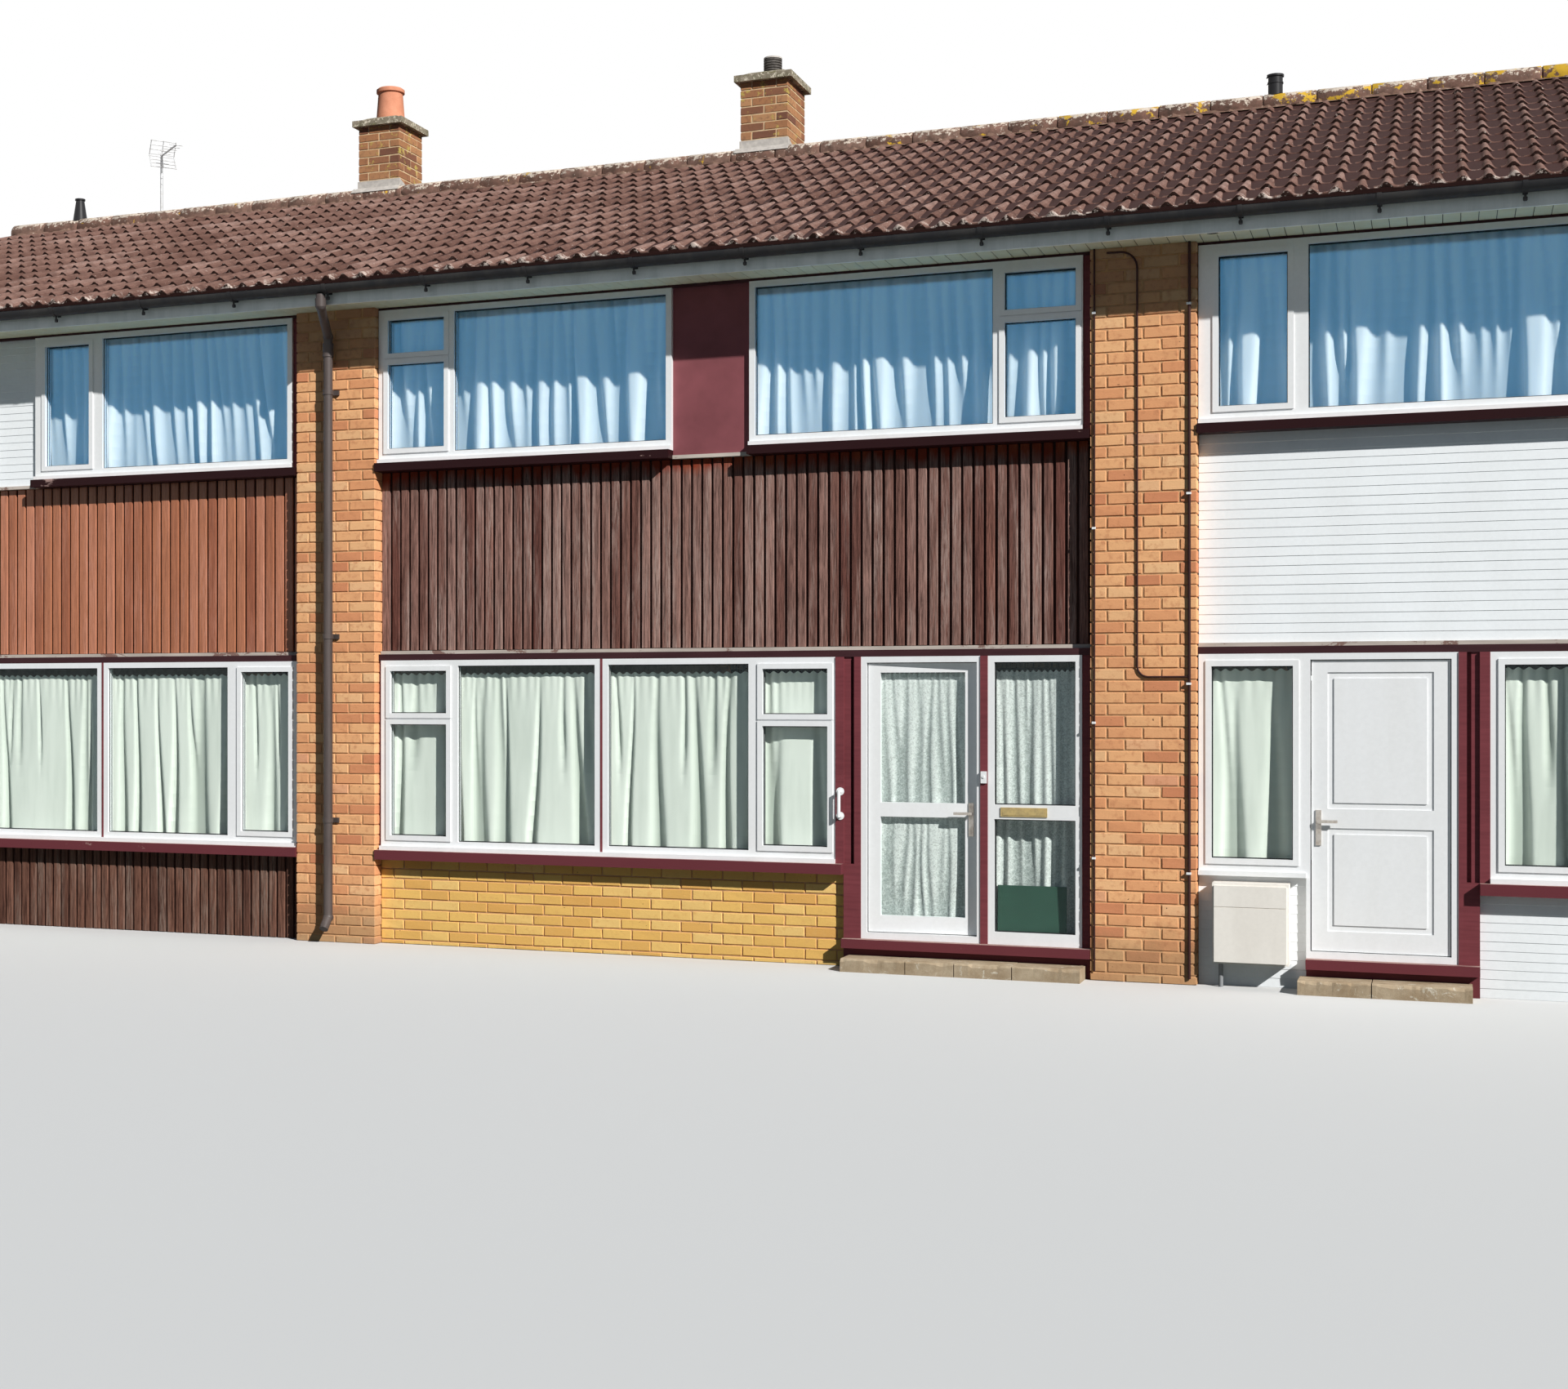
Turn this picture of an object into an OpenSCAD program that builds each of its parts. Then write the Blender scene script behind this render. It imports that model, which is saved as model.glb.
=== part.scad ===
// Terraced house row: three cross-wall houses between brick piers, with boarded
// fronts, white windows and one long tiled roof. X runs along the row, the front
// faces -Y, Z is up, and the origin is at ground level under the middle of the row.

/* [Row] */
// Spacing of the party walls
house_pitch = 5850; // [5500:10:6400]
// Depth from the front piers' face to the rear piers' face
row_depth = 8600; // [7600:50:9600]
// Width of a brick pier
pier_w = 665; // [560:5:780]
// Depth of a brick pier
pier_d = 340; // [325:5:440]
// Thickness of a party wall
party_wall_t = 225; // [200:5:330]
// Thickness of the ground floor slab
ground_floor_t = 150; // [100:5:190]
// Height of the first floor's surface
first_floor_z = 2600; // [2500:10:2800]
// Thickness of the first floor
first_floor_t = 200; // [150:5:250]

/* [Heights] */
// Underside of the soffit, on top of the piers
soffit_z = 4700; // [4600:5:4900]
// Top of the upper window frames
upper_head_z = 4681; // [4500:1:4690]
// Underside of the upper white sills
upper_sill_z = 3548; // [3400:1:3800]
// Bottom edge of the boarding between the storeys
boards_foot_z = 2140; // [2120:1:2200]
// Top of the lower window and door frames
lower_head_z = 2094; // [2040:1:2110]
// Underside of the lower white sills
lower_sill_z = 697; // [500:1:900]
// Underside of the door frames
door_foot_z = 197; // [195:1:260]

/* [Front depths behind the pier face] */
// Front of the upper window frames
upper_frame_y = 54; // [40:1:80]
// Front of the lower window and door frames
lower_frame_y = 62; // [50:1:80]
// Front of the boarding
boards_y = 113; // [90:1:125]
// Front of the low brick wall
plinth_y = 100; // [80:1:125]
// Front of the flat panel between the upper windows
panel_y = 88; // [60:1:95]
// Thickness of the low brick wall
plinth_t = 240; // [200:5:240]
// Thickness of the boards
board_t = 22; // [16:1:30]
// Thickness of the framed wall behind the boards
stud_wall_t = 120; // [90:5:150]

/* [Boards] */
// Width of a brown board with its groove
brown_board_w = 76; // [60:1:110]
// Width of a red board with its groove
red_board_w = 85; // [60:1:110]
// Height of a white shiplap board
shiplap_h = 66; // [50:1:110]
// Width of a board's groove
groove_w = 10; // [6:1:16]
// Depth of a board's groove
groove_d = 9; // [5:1:13]

/* [Windows] */
// Visible width of a window's outer frame
bar_w = 42; // [35:1:60]
// Depth of a window frame
frame_d = 65; // [60:1:80]
// Width of an opening light's sash
sash_w = 36; // [28:1:38]
// How far a sash stands in front of its frame
sash_proud = 10; // [5:1:14]
// Width of the glass of an opening light
vent_w = 460; // [380:5:560]
// Width of the glass of the outer houses' narrow light
narrow_vent_w = 415; // [360:5:480]
// Frame and sash beside an opening light
stile_w = 80; // [79:1:110]
// Mullion beside an opening light
mullion_w = 78; // [76:1:120]
// Mullion of the outer houses' windows
wide_mullion_w = 122; // [100:1:140]
// Bar between an opening light and the small light over it
transom_w = 82; // [76:1:110]
// Glass height of the small light in an upper window
upper_top_light_h = 245; // [180:5:320]
// Glass height of the small light in a lower window
lower_top_light_h = 310; // [220:5:400]
// Thickness of the glass units
glass_t = 24; // [18:1:28]
// Width of the centre house's upper window on the door's side
upper_right_w = 2259; // [2100:1:2300]
// Width of the flat panel between the centre house's upper windows
panel_w = 568; // [480:2:700]
// Width of the shiplap between the outer houses' upper windows
outer_panel_w = 464; // [400:2:600]
// Width of the lower window beside the door's post
lower_second_w = 1700; // [1600:2:1800]
// Timber strip between the two lower windows
joint_strip_w = 18; // [10:1:30]
// Dark strip between the other lower window and the pier
lower_strip_w = 18.5; // [10:0.5:40]
// Dark strip between a window and the pier, on the door side
side_strip_w = 52; // [40:1:80]
// Dark strip between an outer house's upper window and the pier, away from the door
outer_strip_w = 66; // [50:1:80]
// Height of a white sill
white_sill_h = 30; // [22:1:40]
// How far a white sill stands in front of its frame
white_sill_nose = 30; // [15:1:40]
// Height of the timber sill under an upper window
upper_timber_sill_h = 60; // [40:1:80]
// Height of the timber sill under a lower window
lower_timber_sill_h = 70; // [40:1:80]
// How far the timber sills stand in front of the pier face
timber_sill_nose = 12; // [0:1:30]

/* [Doors] */
// Distance from the house's centre line to the door frame
door_x = 1068; // [1040:1:1090]
// Width of the centre house's door frame
door_w = 807; // [790:1:830]
// Width of the outer houses' door frames
outer_door_w = 875; // [840:1:900]
// Width of the post between door and side light
door_post_w = 49; // [40:1:60]
// Dark strip between the side light beside the centre door and the pier
side_light_strip_w = 58.5; // [40:0.5:90]
// Width of the post between the lower window and the door frame
window_post_w = 176; // [165:1:190]
// Width of that post below the window
timber_post_w = 119; // [110:1:130]
// Visible width of the door frame's hinge jamb
hinge_jamb_w = 40; // [30:1:50]
// Visible width of the door frame's lock jamb
lock_jamb_w = 24; // [20:1:40]
// Thickness of a door leaf
leaf_t = 44; // [40:1:50]
// Distance from the door frame's front to the leaf
leaf_set_back = 16; // [10:1:20]
// Gap round a door leaf
leaf_gap = 5; // [5:0.5:6]
// Width of a door leaf's stiles
leaf_stile_w = 82; // [70:1:100]
// Height of a door leaf's bottom rail
leaf_foot_h = 112; // [90:1:140]
// Underside of the middle rails
mid_rail_z = 1020; // [950:1:1080]
// Height of the middle rails
mid_rail_h = 96; // [80:1:120]
// Angle at which the centre door stands ajar
door_ajar = 3; // [0:0.5:8]
// Height of the door sill's nosing
door_sill_h = 62; // [45:1:62]
// Height of a doorstep
step_h = 90; // [60:5:120]
// How far a doorstep reaches in front of the pier face
step_out = 200; // [100:10:300]

/* [Roof] */
// Pitch of the roof in degrees
roof_pitch = 21.1; // [21:0.1:30]
// Distance from the pier face to the lower edge of the tiles
eaves_out = 420; // [400:5:500]
// Underside of the tiles at their lower edge
eaves_z = 4811; // [4800:1:5000]
// Number of tile courses on each slope
course_n = 13; // [12:1:18]
// Thickness of the roof under the tiles' heads
roof_t = 40; // [30:1:60]
// Thickness of a tile's lower edge
tile_butt = 25; // [15:1:30]
// Radius of a ridge tile
ridge_r = 105; // [100:1:140]
// Length of a ridge tile
ridge_tile_l = 415; // [300:10:600]
// Distance from the pier face to the fascia's face
fascia_out = 350; // [320:5:380]
// Height of the fascia
fascia_h = 160; // [140:1:162]
// Outer radius of the gutter
gutter_r = 56; // [50:1:60]
// Spacing of the gutter brackets
bracket_pitch = 790; // [600:10:1000]
// Radius of a downpipe
pipe_r = 34; // [30:1:40]

/* [Chimneys] */
// Width of a chimney along the row
chimney_w = 445; // [440:5:700]
// Depth of the centre house's chimney, back from the ridge
chimney_d = 545; // [440:5:800]
// Depth of the outer houses' chimneys
outer_chimney_d = 490; // [440:5:800]
// Distance from the house's centre line to the centre house's chimney
chimney_x = 944; // [600:1:1100]
// Distance from the house's centre line to the outer houses' chimneys
outer_chimney_x = 1010; // [600:1:1100]
// Height of the brickwork over the ridge
chimney_rise = 603; // [450:1:1000]
// Thickness of the chimney's cap slab
cap_t = 58; // [50:1:90]
// Overhang of the cap slab
cap_out = 46; // [30:1:80]
// Height of the sloped mortar on the cap slab
flaunching_h = 44; // [30:1:70]
// Height of a clay pot
pot_h = 315; // [200:5:400]
// Radius of a clay pot at its foot
pot_r = 138; // [110:1:160]
// Radius of the metal flue terminal
terminal_r = 73; // [60:1:90]

/* [Hidden] */
$fn = 32;

// Gap between pieces that rest on or against each other
seat = 0.3;
houses = [-1, 0, 1];
half_row = 1.5 * house_pitch + pier_w / 2;
half_depth = row_depth / 2;
bay_w = house_pitch - pier_w;
half_bay = bay_w / 2;
stud_y = boards_y + board_t;
stud_back = stud_y + stud_wall_t;
edge_gap = 4;

// Heights that follow from the driving ones
drip_h = 25;
upper_frame_z = upper_sill_z + white_sill_h;
lower_frame_z = lower_sill_z + white_sill_h;
boards_top_z = upper_sill_z - upper_timber_sill_h;
plinth_top_z = lower_sill_z - lower_timber_sill_h;
door_board_z = door_foot_z - door_sill_h;

// Places along the front, from the house's centre line towards the door
upper_left_x = -half_bay + edge_gap;
upper_right_x = half_bay - side_strip_w - upper_right_w;
upper_left_w = upper_right_x - panel_w - upper_left_x;
outer_left_x = -half_bay + outer_strip_w;
outer_left_w = upper_right_x - outer_panel_w - outer_left_x;
outer_right_w = half_bay - edge_gap - upper_right_x;
lower_end_x = door_x - window_post_w;
lower_second_x = lower_end_x - lower_second_w;
lower_first_x = -half_bay + lower_strip_w;
lower_first_w = lower_second_x - joint_strip_w - lower_first_x;
posts_x = door_x - timber_post_w;
side_light_x = door_x + door_w + door_post_w;
side_light_w = half_bay - side_light_strip_w - side_light_x;
outer_side_x = door_x + outer_door_w;
outer_side_w = half_bay - edge_gap - outer_side_x;

// Faces of the posts, strips and beams against the frames beside them
post_y = lower_frame_y - 8;
post_back = lower_frame_y + frame_d;
strip_back = 20;
joint_strip_back = 6;
beam_y = upper_frame_y + 6;
beam_top_z = soffit_z + fascia_h;
drip_out = 18;
panel_drip_out = 12;

// Door leaf
leaf_x = door_x + hinge_jamb_w + leaf_gap;
leaf_y = lower_frame_y + leaf_set_back;
threshold_h = 43;
door_head_h = 40;
leaf_z = door_foot_z + threshold_h + leaf_gap;
leaf_h = lower_head_z - door_head_h - leaf_gap - leaf_z;
leaf_head_h = leaf_stile_w - 20;
rail_top_z = mid_rail_z + mid_rail_h;
lock_gap = leaf_gap + 2;
leaf_w = door_w - hinge_jamb_w - lock_jamb_w - leaf_gap - lock_gap;
outer_leaf_w = outer_door_w - hinge_jamb_w - lock_jamb_w - leaf_gap - lock_gap;
knuckle_r = leaf_gap - seat;

// Roof
eaves_half = half_depth + eaves_out;
slope_l = eaves_half / cos(roof_pitch);
course_l = slope_l / course_n;
tile_top = roof_t + tile_butt;
roof_top_z = eaves_z + eaves_half * tan(roof_pitch) + tile_top / cos(roof_pitch);
ridge_z = roof_top_z - ridge_r * 0.4;
ridge_top_z = ridge_z + ridge_r;
fascia_y = half_depth + fascia_out;
fascia_t = 20;
fascia_drop = 29;
soffit_t = 10;
gutter_y = fascia_y + gutter_r + 6;
gutter_z = eaves_z - 14;
stack_top_z = ridge_top_z + chimney_rise;

// Shared helpers
module on_front() { translate([0, -half_depth, 0]) children(); }
module on_rear() { mirror([0, 1, 0]) on_front() children(); }
module at_house(i) { translate([i * house_pitch, 0, 0]) mirror([abs(i), 0, 0]) children(); }
module each_rear() { for (i = houses) on_rear() at_house(i) children(); }
module block(x, y, z) { translate([x[0], y[0], z[0]]) cube([x[1] - x[0], y[1] - y[0], z[1] - z[0]]); }
module face_extrude(d) { rotate([90, 0, 0]) translate([0, 0, -d]) linear_extrude(d) children(); }
module along_row(l) { translate([-l / 2, 0, 0]) rotate([90, 0, 90]) linear_extrude(l) children(); }
module rod(a, b, r) {
    v = b - a;
    translate(a) rotate([0, atan2(norm([v[0], v[1]]), v[2]), atan2(v[1], v[0])]) cylinder(h = norm(v), r = r);
}
module light(r, grow = 0) { translate([r[0] - grow, r[1] - grow]) square([r[2] + 2 * grow, r[3] + 2 * grow]); }

// A window: [x, width, opening light's glass width, frame beside it, mullion, side, small light's height]
centre_upper = [
    [upper_left_x, upper_left_w, vent_w, stile_w, mullion_w, -1, upper_top_light_h],
    [upper_right_x, upper_right_w, vent_w, stile_w - sash_w, mullion_w, 1, upper_top_light_h]];
outer_upper = [
    [outer_left_x, outer_left_w, narrow_vent_w, wide_mullion_w - bar_w / 2, wide_mullion_w, 1, 0],
    [upper_right_x, outer_right_w, narrow_vent_w, wide_mullion_w, wide_mullion_w, 1, 0]];
centre_lower = [
    [lower_first_x, lower_first_w, vent_w, stile_w, mullion_w + 12, -1, lower_top_light_h],
    [lower_second_x, lower_second_w, vent_w, stile_w - sash_w + 12, mullion_w + 24, 1, lower_top_light_h]];
outer_lower = [
    [lower_first_x, lower_first_w, narrow_vent_w, stile_w, wide_mullion_w, -1, 0],
    [lower_second_x, lower_second_w, narrow_vent_w, stile_w, wide_mullion_w, 1, 0]];
function upper_set(i) = i == 0 ? centre_upper : outer_upper;
function lower_set(i) = i == 0 ? centre_lower : outer_lower;
function vent_lights(s, h) =
    let (z = bar_w + sash_w, all = h - 2 * z)
    s[6] > 0 ? [[s[3], z, s[2], all - s[6] - transom_w], [s[3], h - z - s[6], s[2], s[6]]]
             : [[s[3], z, s[2], all]];
function main_light(s, h) = [s[3] + s[2] + s[4], bar_w, s[1] - bar_w - s[3] - s[2] - s[4], h - 2 * bar_w];
function handed(s, r) = s[5] < 0 ? r : [s[1] - r[0] - r[2], r[1], r[2], r[3]];
function lights(s, h) = [for (r = concat(vent_lights(s, h), [main_light(s, h)])) handed(s, r)];

module window_frame(s, h) {
    face_extrude(frame_d) difference() {
        square([s[1], h]);
        for (r = lights(s, h)) light(r);
    }
    for (v = vent_lights(s, h)) translate([0, -sash_proud, 0]) face_extrude(sash_proud) difference() {
        light(handed(s, v), min(sash_w, s[3] - 4));
        light(handed(s, v));
    }
}
module window_glass(s, h) {
    for (r = lights(s, h)) translate([0, (frame_d - glass_t) / 2, 0]) face_extrude(glass_t) light(r);
}
module upper_frames(set) {
    for (s = set) translate([s[0], upper_frame_y, upper_frame_z]) window_frame(s, upper_head_z - upper_frame_z);
}
module upper_panes(set) {
    for (s = set) translate([s[0], upper_frame_y, upper_frame_z]) window_glass(s, upper_head_z - upper_frame_z);
}
module lower_frames(set) {
    for (s = set) translate([s[0], lower_frame_y, lower_frame_z]) window_frame(s, lower_head_z - lower_frame_z);
}
module lower_panes(set) {
    for (s = set) translate([s[0], lower_frame_y, lower_frame_z]) window_glass(s, lower_head_z - lower_frame_z);
}

// The glazed side light beside the centre door has a middle rail at the door's height
side_light_h = lower_head_z - door_foot_z;
side_light_foot = leaf_stile_w;
side_light_rail_top = rail_top_z - door_foot_z;
side_light_lights = [
    [bar_w, side_light_foot, side_light_w - 2 * bar_w, mid_rail_z - door_foot_z - side_light_foot],
    [bar_w, side_light_rail_top, side_light_w - 2 * bar_w, side_light_h - bar_w - side_light_rail_top]];
module side_light_frame() {
    translate([side_light_x, lower_frame_y, door_foot_z]) face_extrude(frame_d) difference() {
        square([side_light_w, side_light_h]);
        for (r = side_light_lights) light(r);
    }
}
module side_light_glass() {
    translate([side_light_x, lower_frame_y + (frame_d - glass_t) / 2, door_foot_z])
        for (r = side_light_lights) face_extrude(glass_t) light(r);
}
outer_side_h = lower_head_z - lower_frame_z;
outer_side_light = [bar_w + sash_w, bar_w + sash_w, outer_side_w - 2 * (bar_w + sash_w),
    outer_side_h - 2 * (bar_w + sash_w)];
module outer_side_frame() {
    translate([outer_side_x, lower_frame_y, lower_frame_z]) {
        face_extrude(frame_d) difference() {
            square([outer_side_w, outer_side_h]);
            light(outer_side_light);
        }
        translate([0, -sash_proud, 0]) face_extrude(sash_proud) difference() {
            light(outer_side_light, sash_w);
            light(outer_side_light);
        }
    }
}
module outer_side_glass() {
    translate([outer_side_x, lower_frame_y + (frame_d - glass_t) / 2, lower_frame_z])
        face_extrude(glass_t) light(outer_side_light);
}

// Vertical boards: a plan outline with a groove at each joint, extruded upwards
module vertical_boards(x0, x1, z0, z1, pitch) {
    n = floor((x1 - x0) / pitch);
    front = [for (k = [1 : n]) each let (g = x0 + k * pitch)
        g + groove_w < x1 ? [[g - groove_w / 2, 0], [g - groove_w / 2, groove_d],
            [g + groove_w / 2, groove_d], [g + groove_w / 2, 0]] : []];
    translate([0, boards_y, z0]) linear_extrude(z1 - z0)
        polygon(concat([[x0, board_t], [x0, 0]], front, [[x1, 0], [x1, board_t]]));
}
// Shiplap: a side outline in which each board leans out to its foot, extruded across
module shiplap(x0, x1, z0, z1, y) {
    n = floor((z1 - z0) / shiplap_h);
    step = (z1 - z0) / n;
    front = [for (k = [0 : n - 1]) each [[y, z0 + k * step], [y + groove_d, z0 + (k + 1) * step - groove_w],
        [y + groove_d, z0 + (k + 1) * step]]];
    translate([x0, 0, 0]) rotate([90, 0, 90]) linear_extrude(x1 - x0)
        polygon(concat([[y + board_t, z0]], front, [[y + board_t, z1]]));
}

// Roof outlines in the plane across the row
function roof_z(y, t) = eaves_z + (eaves_half - abs(y)) * tan(roof_pitch) + t / cos(roof_pitch);
module roof_envelope(t) {
    along_row(2 * half_row + 400) polygon([[-eaves_half, 0], [eaves_half, 0],
        [eaves_half, roof_z(eaves_half, t)], [0, roof_z(0, t)], [-eaves_half, roof_z(eaves_half, t)]]);
}
module above_roof(y = 0) {
    difference() {
        children();
        translate([0, -y, 0]) roof_envelope(tile_top + seat);
    }
}
function course_points(k) = [[k * course_l, tile_top], [(k + 1) * course_l, roof_t]];
module roof_slope() {
    points = [for (k = [0 : course_n - 1]) each course_points(k)];
    top = points[len(points) - 1];
    translate([0, -eaves_half, eaves_z]) rotate([roof_pitch, 0, 0]) along_row(2 * half_row)
        polygon(concat([[0, 0]], [for (k = [0 : len(points) - 2]) points[k]],
            [[top[0] + roof_t * tan(roof_pitch), roof_t], [slope_l, 0]]));
}

// Ends of a house's floors, against the party walls
wall_in = (house_pitch - party_wall_t) / 2 - seat;
end_in = half_row - party_wall_t - seat;
function floor_x(i) = [i < 0 ? -end_in : i * house_pitch - wall_in, i > 0 ? end_in : i * house_pitch + wall_in];
module ground_floors() {
    back = half_depth - max(plinth_y + plinth_t, pier_d) - seat;
    color("#8f8b84") for (i = houses) {
        block(floor_x(i), [-back, back], [0, ground_floor_t]);
        for (side = [0, 1]) mirror([0, side, 0]) at_house(i)
            block([posts_x + seat, (side == 1 || i == 0 ? half_bay : outer_side_x) - seat],
                [-half_depth + stud_y + seat, -back + 1], [0, ground_floor_t]);
    }
}
module first_floors() {
    back = half_depth - max(stud_back, pier_d) - seat;
    z = [first_floor_z - first_floor_t, first_floor_z];
    color("#9a7a55") for (i = houses) {
        block(floor_x(i), [-back, back], z);
        for (side = [0, 1]) mirror([0, side, 0]) at_house(i)
            block([-half_bay + seat, half_bay - seat], [-half_depth + stud_back + seat, -back + 1], z);
    }
}
module party_walls() {
    wall_y = half_depth - pier_d - seat;
    loft_y = fascia_y - fascia_t - seat;
    loft_z = soffit_z + soffit_t + seat;
    color("#b98a66") for (k = [-1.5, -0.5, 0.5, 1.5]) {
        shift = abs(k) > 1 ? sign(k) * (pier_w - party_wall_t) / 2 : 0;
        translate([k * house_pitch + shift, 0, 0]) {
            block([-party_wall_t / 2, party_wall_t / 2], [-wall_y, wall_y], [0, loft_z - seat]);
            along_row(party_wall_t) polygon([[-loft_y, loft_z], [loft_y, loft_z],
                [loft_y, roof_z(loft_y, 0) - seat], [0, roof_z(0, 0) - seat],
                [-loft_y, roof_z(loft_y, 0) - seat]]);
        }
    }
}
module piers() {
    color("#b0704a") for (k = [-1.5, -0.5, 0.5, 1.5]) for (side = [0, 1]) mirror([0, side, 0])
        translate([k * house_pitch, -half_depth, 0])
            block([-pier_w / 2, pier_w / 2], [0, pier_d], [0, soffit_z]);
}
module plinth_wall(x0, x1) { block([x0, x1], [plinth_y, plinth_y + plinth_t], [0, plinth_top_z]); }
module plinth_walls() {
    outer_y = plinth_y + board_t;
    color("#c08a52") {
        on_front() at_house(0) plinth_wall(-half_bay, posts_x);
        each_rear() plinth_wall(-half_bay, posts_x);
        for (i = [-1, 1]) on_front() at_house(i) {
            block([-half_bay, posts_x], [outer_y, plinth_y + plinth_t], [0, plinth_top_z]);
            block([outer_side_x, half_bay], [outer_y, plinth_y + plinth_t], [0, lower_sill_z]);
        }
    }
}
module spandrel_walls() {
    color("#8a7a66") for (i = houses) for (side = [0, 1]) mirror([0, side, 0]) on_front() at_house(i)
        block([-half_bay, half_bay], [stud_y, stud_back], [boards_foot_z, boards_top_z]);
}
module brown_cladding() {
    z0 = boards_foot_z + drip_h;
    color("#4a2a26") {
        on_front() vertical_boards(-half_bay, half_bay, z0, boards_top_z, brown_board_w);
        each_rear() vertical_boards(-half_bay, half_bay, z0, boards_top_z, brown_board_w);
        on_front() at_house(-1) translate([0, plinth_y - boards_y, 0])
            vertical_boards(-half_bay, posts_x, 0, plinth_top_z, brown_board_w);
    }
}
module red_cladding() {
    color("#6e3420") on_front() at_house(-1)
        vertical_boards(-half_bay, half_bay, boards_foot_z + drip_h, boards_top_z, red_board_w);
}
module white_shiplap() {
    color("#eceae4") {
        on_front() at_house(1) {
            shiplap(-half_bay, half_bay, boards_foot_z + drip_h, boards_top_z, boards_y);
            shiplap(-half_bay, posts_x, 0, plinth_top_z, plinth_y);
            shiplap(outer_side_x, half_bay, 0, lower_sill_z, plinth_y);
        }
        on_front() at_house(-1) shiplap(outer_side_x, half_bay, 0, lower_sill_z, plinth_y);
        for (i = [-1, 1]) on_front() at_house(i)
            shiplap(outer_left_x + outer_left_w, upper_right_x, boards_top_z + drip_h, upper_head_z, panel_y);
    }
}
module timber_panel() {
    block([upper_left_x + upper_left_w, upper_right_x], [panel_y, panel_y + board_t],
        [boards_top_z + drip_h, upper_head_z]);
}
module timber_panels() {
    color("#5c2428") {
        on_front() timber_panel();
        each_rear() timber_panel();
    }
}
module head_beam_pair() {
    block([-half_bay, half_bay], [beam_y, stud_back], [upper_head_z, beam_top_z]);
    block([-half_bay, half_bay], [lower_frame_y, stud_back], [lower_head_z, boards_foot_z]);
}
module head_beams() {
    color("#4a2428") for (i = houses) for (side = [0, 1]) mirror([0, side, 0]) on_front() at_house(i)
        head_beam_pair();
}
module drip_trim(gap_x0, gap_x1) {
    block([-half_bay, half_bay], [boards_y - drip_out, stud_y], [boards_foot_z, boards_foot_z + drip_h]);
    block([gap_x0, gap_x1], [panel_y - panel_drip_out, stud_back], [boards_top_z, boards_top_z + drip_h]);
}
module drip_trims() {
    color("#c9bfae") {
        on_front() drip_trim(upper_left_x + upper_left_w, upper_right_x);
        each_rear() drip_trim(upper_left_x + upper_left_w, upper_right_x);
        for (i = [-1, 1]) on_front() at_house(i) drip_trim(outer_left_x + outer_left_w, upper_right_x);
    }
}
module timber_sill_set(left_end, right_start) {
    for (x = [[-half_bay, left_end], [right_start, half_bay]])
        block(x, [-timber_sill_nose, stud_back], [boards_top_z, upper_sill_z]);
    block([-half_bay, posts_x], [-timber_sill_nose, plinth_y + plinth_t], [plinth_top_z, lower_sill_z]);
}
module timber_sills() {
    color("#4a2428") {
        on_front() timber_sill_set(upper_left_x + upper_left_w, upper_right_x);
        each_rear() timber_sill_set(upper_left_x + upper_left_w, upper_right_x);
        for (i = [-1, 1]) on_front() at_house(i) timber_sill_set(outer_left_x + outer_left_w, upper_right_x);
    }
}
module white_sill(x, w, y, z) { block([x, x + w], [y - white_sill_nose, y + frame_d], [z, z + white_sill_h]); }
module sills_under(upper, lower) {
    for (s = upper) white_sill(s[0], s[1], upper_frame_y, upper_sill_z);
    white_sill(lower[0][0], lower[1][0] + lower[1][1] - lower[0][0], lower_frame_y, lower_sill_z);
}
module white_sills() {
    color("#f2f2ee") {
        on_front() sills_under(centre_upper, centre_lower);
        each_rear() sills_under(centre_upper, centre_lower);
        for (i = [-1, 1]) on_front() at_house(i) {
            sills_under(outer_upper, outer_lower);
            white_sill(outer_side_x, outer_side_w, lower_frame_y, lower_sill_z);
        }
    }
}
module upper_window_frames() {
    color("#f4f4f0") for (i = houses) on_front() at_house(i) upper_frames(upper_set(i));
}
module upper_glass() {
    color("#7f98a8") for (i = houses) on_front() at_house(i) upper_panes(upper_set(i));
}
module lower_window_frames() {
    color("#f4f4f0") on_front() {
        for (i = houses) at_house(i) lower_frames(lower_set(i));
        side_light_frame();
        for (i = [-1, 1]) at_house(i) outer_side_frame();
    }
}
module lower_glass() {
    color("#7f98a8") on_front() {
        for (i = houses) at_house(i) lower_panes(lower_set(i));
        side_light_glass();
        for (i = [-1, 1]) at_house(i) outer_side_glass();
    }
}
module rear_window_frames() {
    color("#f4f4f0") each_rear() {
        upper_frames(centre_upper);
        lower_frames(centre_lower);
        side_light_frame();
    }
}
module rear_glass() {
    color("#7f98a8") each_rear() {
        upper_panes(centre_upper);
        lower_panes(centre_lower);
        side_light_glass();
    }
}

// Posts between window and door: a plan outline with a sunk strip and a deep slot
module window_post() {
    sunk = [0.33 * window_post_w, 0.6 * window_post_w];
    slot_end = 0.74 * window_post_w;
    slot_y = post_y + 50;
    sunk_y = post_y + strip_back;
    translate([lower_end_x, 0, lower_sill_z]) linear_extrude(lower_head_z - lower_sill_z) polygon([
        [0, post_back], [0, post_y], [sunk[0], post_y], [sunk[0], sunk_y], [sunk[1], sunk_y], [sunk[1], slot_y],
        [slot_end, slot_y], [slot_end, post_y], [window_post_w, post_y], [window_post_w, post_back]]);
    block([posts_x, door_x], [post_y, post_back], [door_foot_z, lower_sill_z]);
}
module lower_window_posts() {
    window_post();
    block([lower_first_x + lower_first_w, lower_second_x], [post_y + joint_strip_back, post_back],
        [lower_frame_z, lower_head_z]);
    block([-half_bay, lower_first_x], [post_y + strip_back, post_back], [lower_frame_z, lower_head_z]);
}
module upper_strip(x0, x1) {
    block([x0, x1], [upper_frame_y + strip_back, upper_frame_y + frame_d], [upper_sill_z, upper_head_z]);
}
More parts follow.
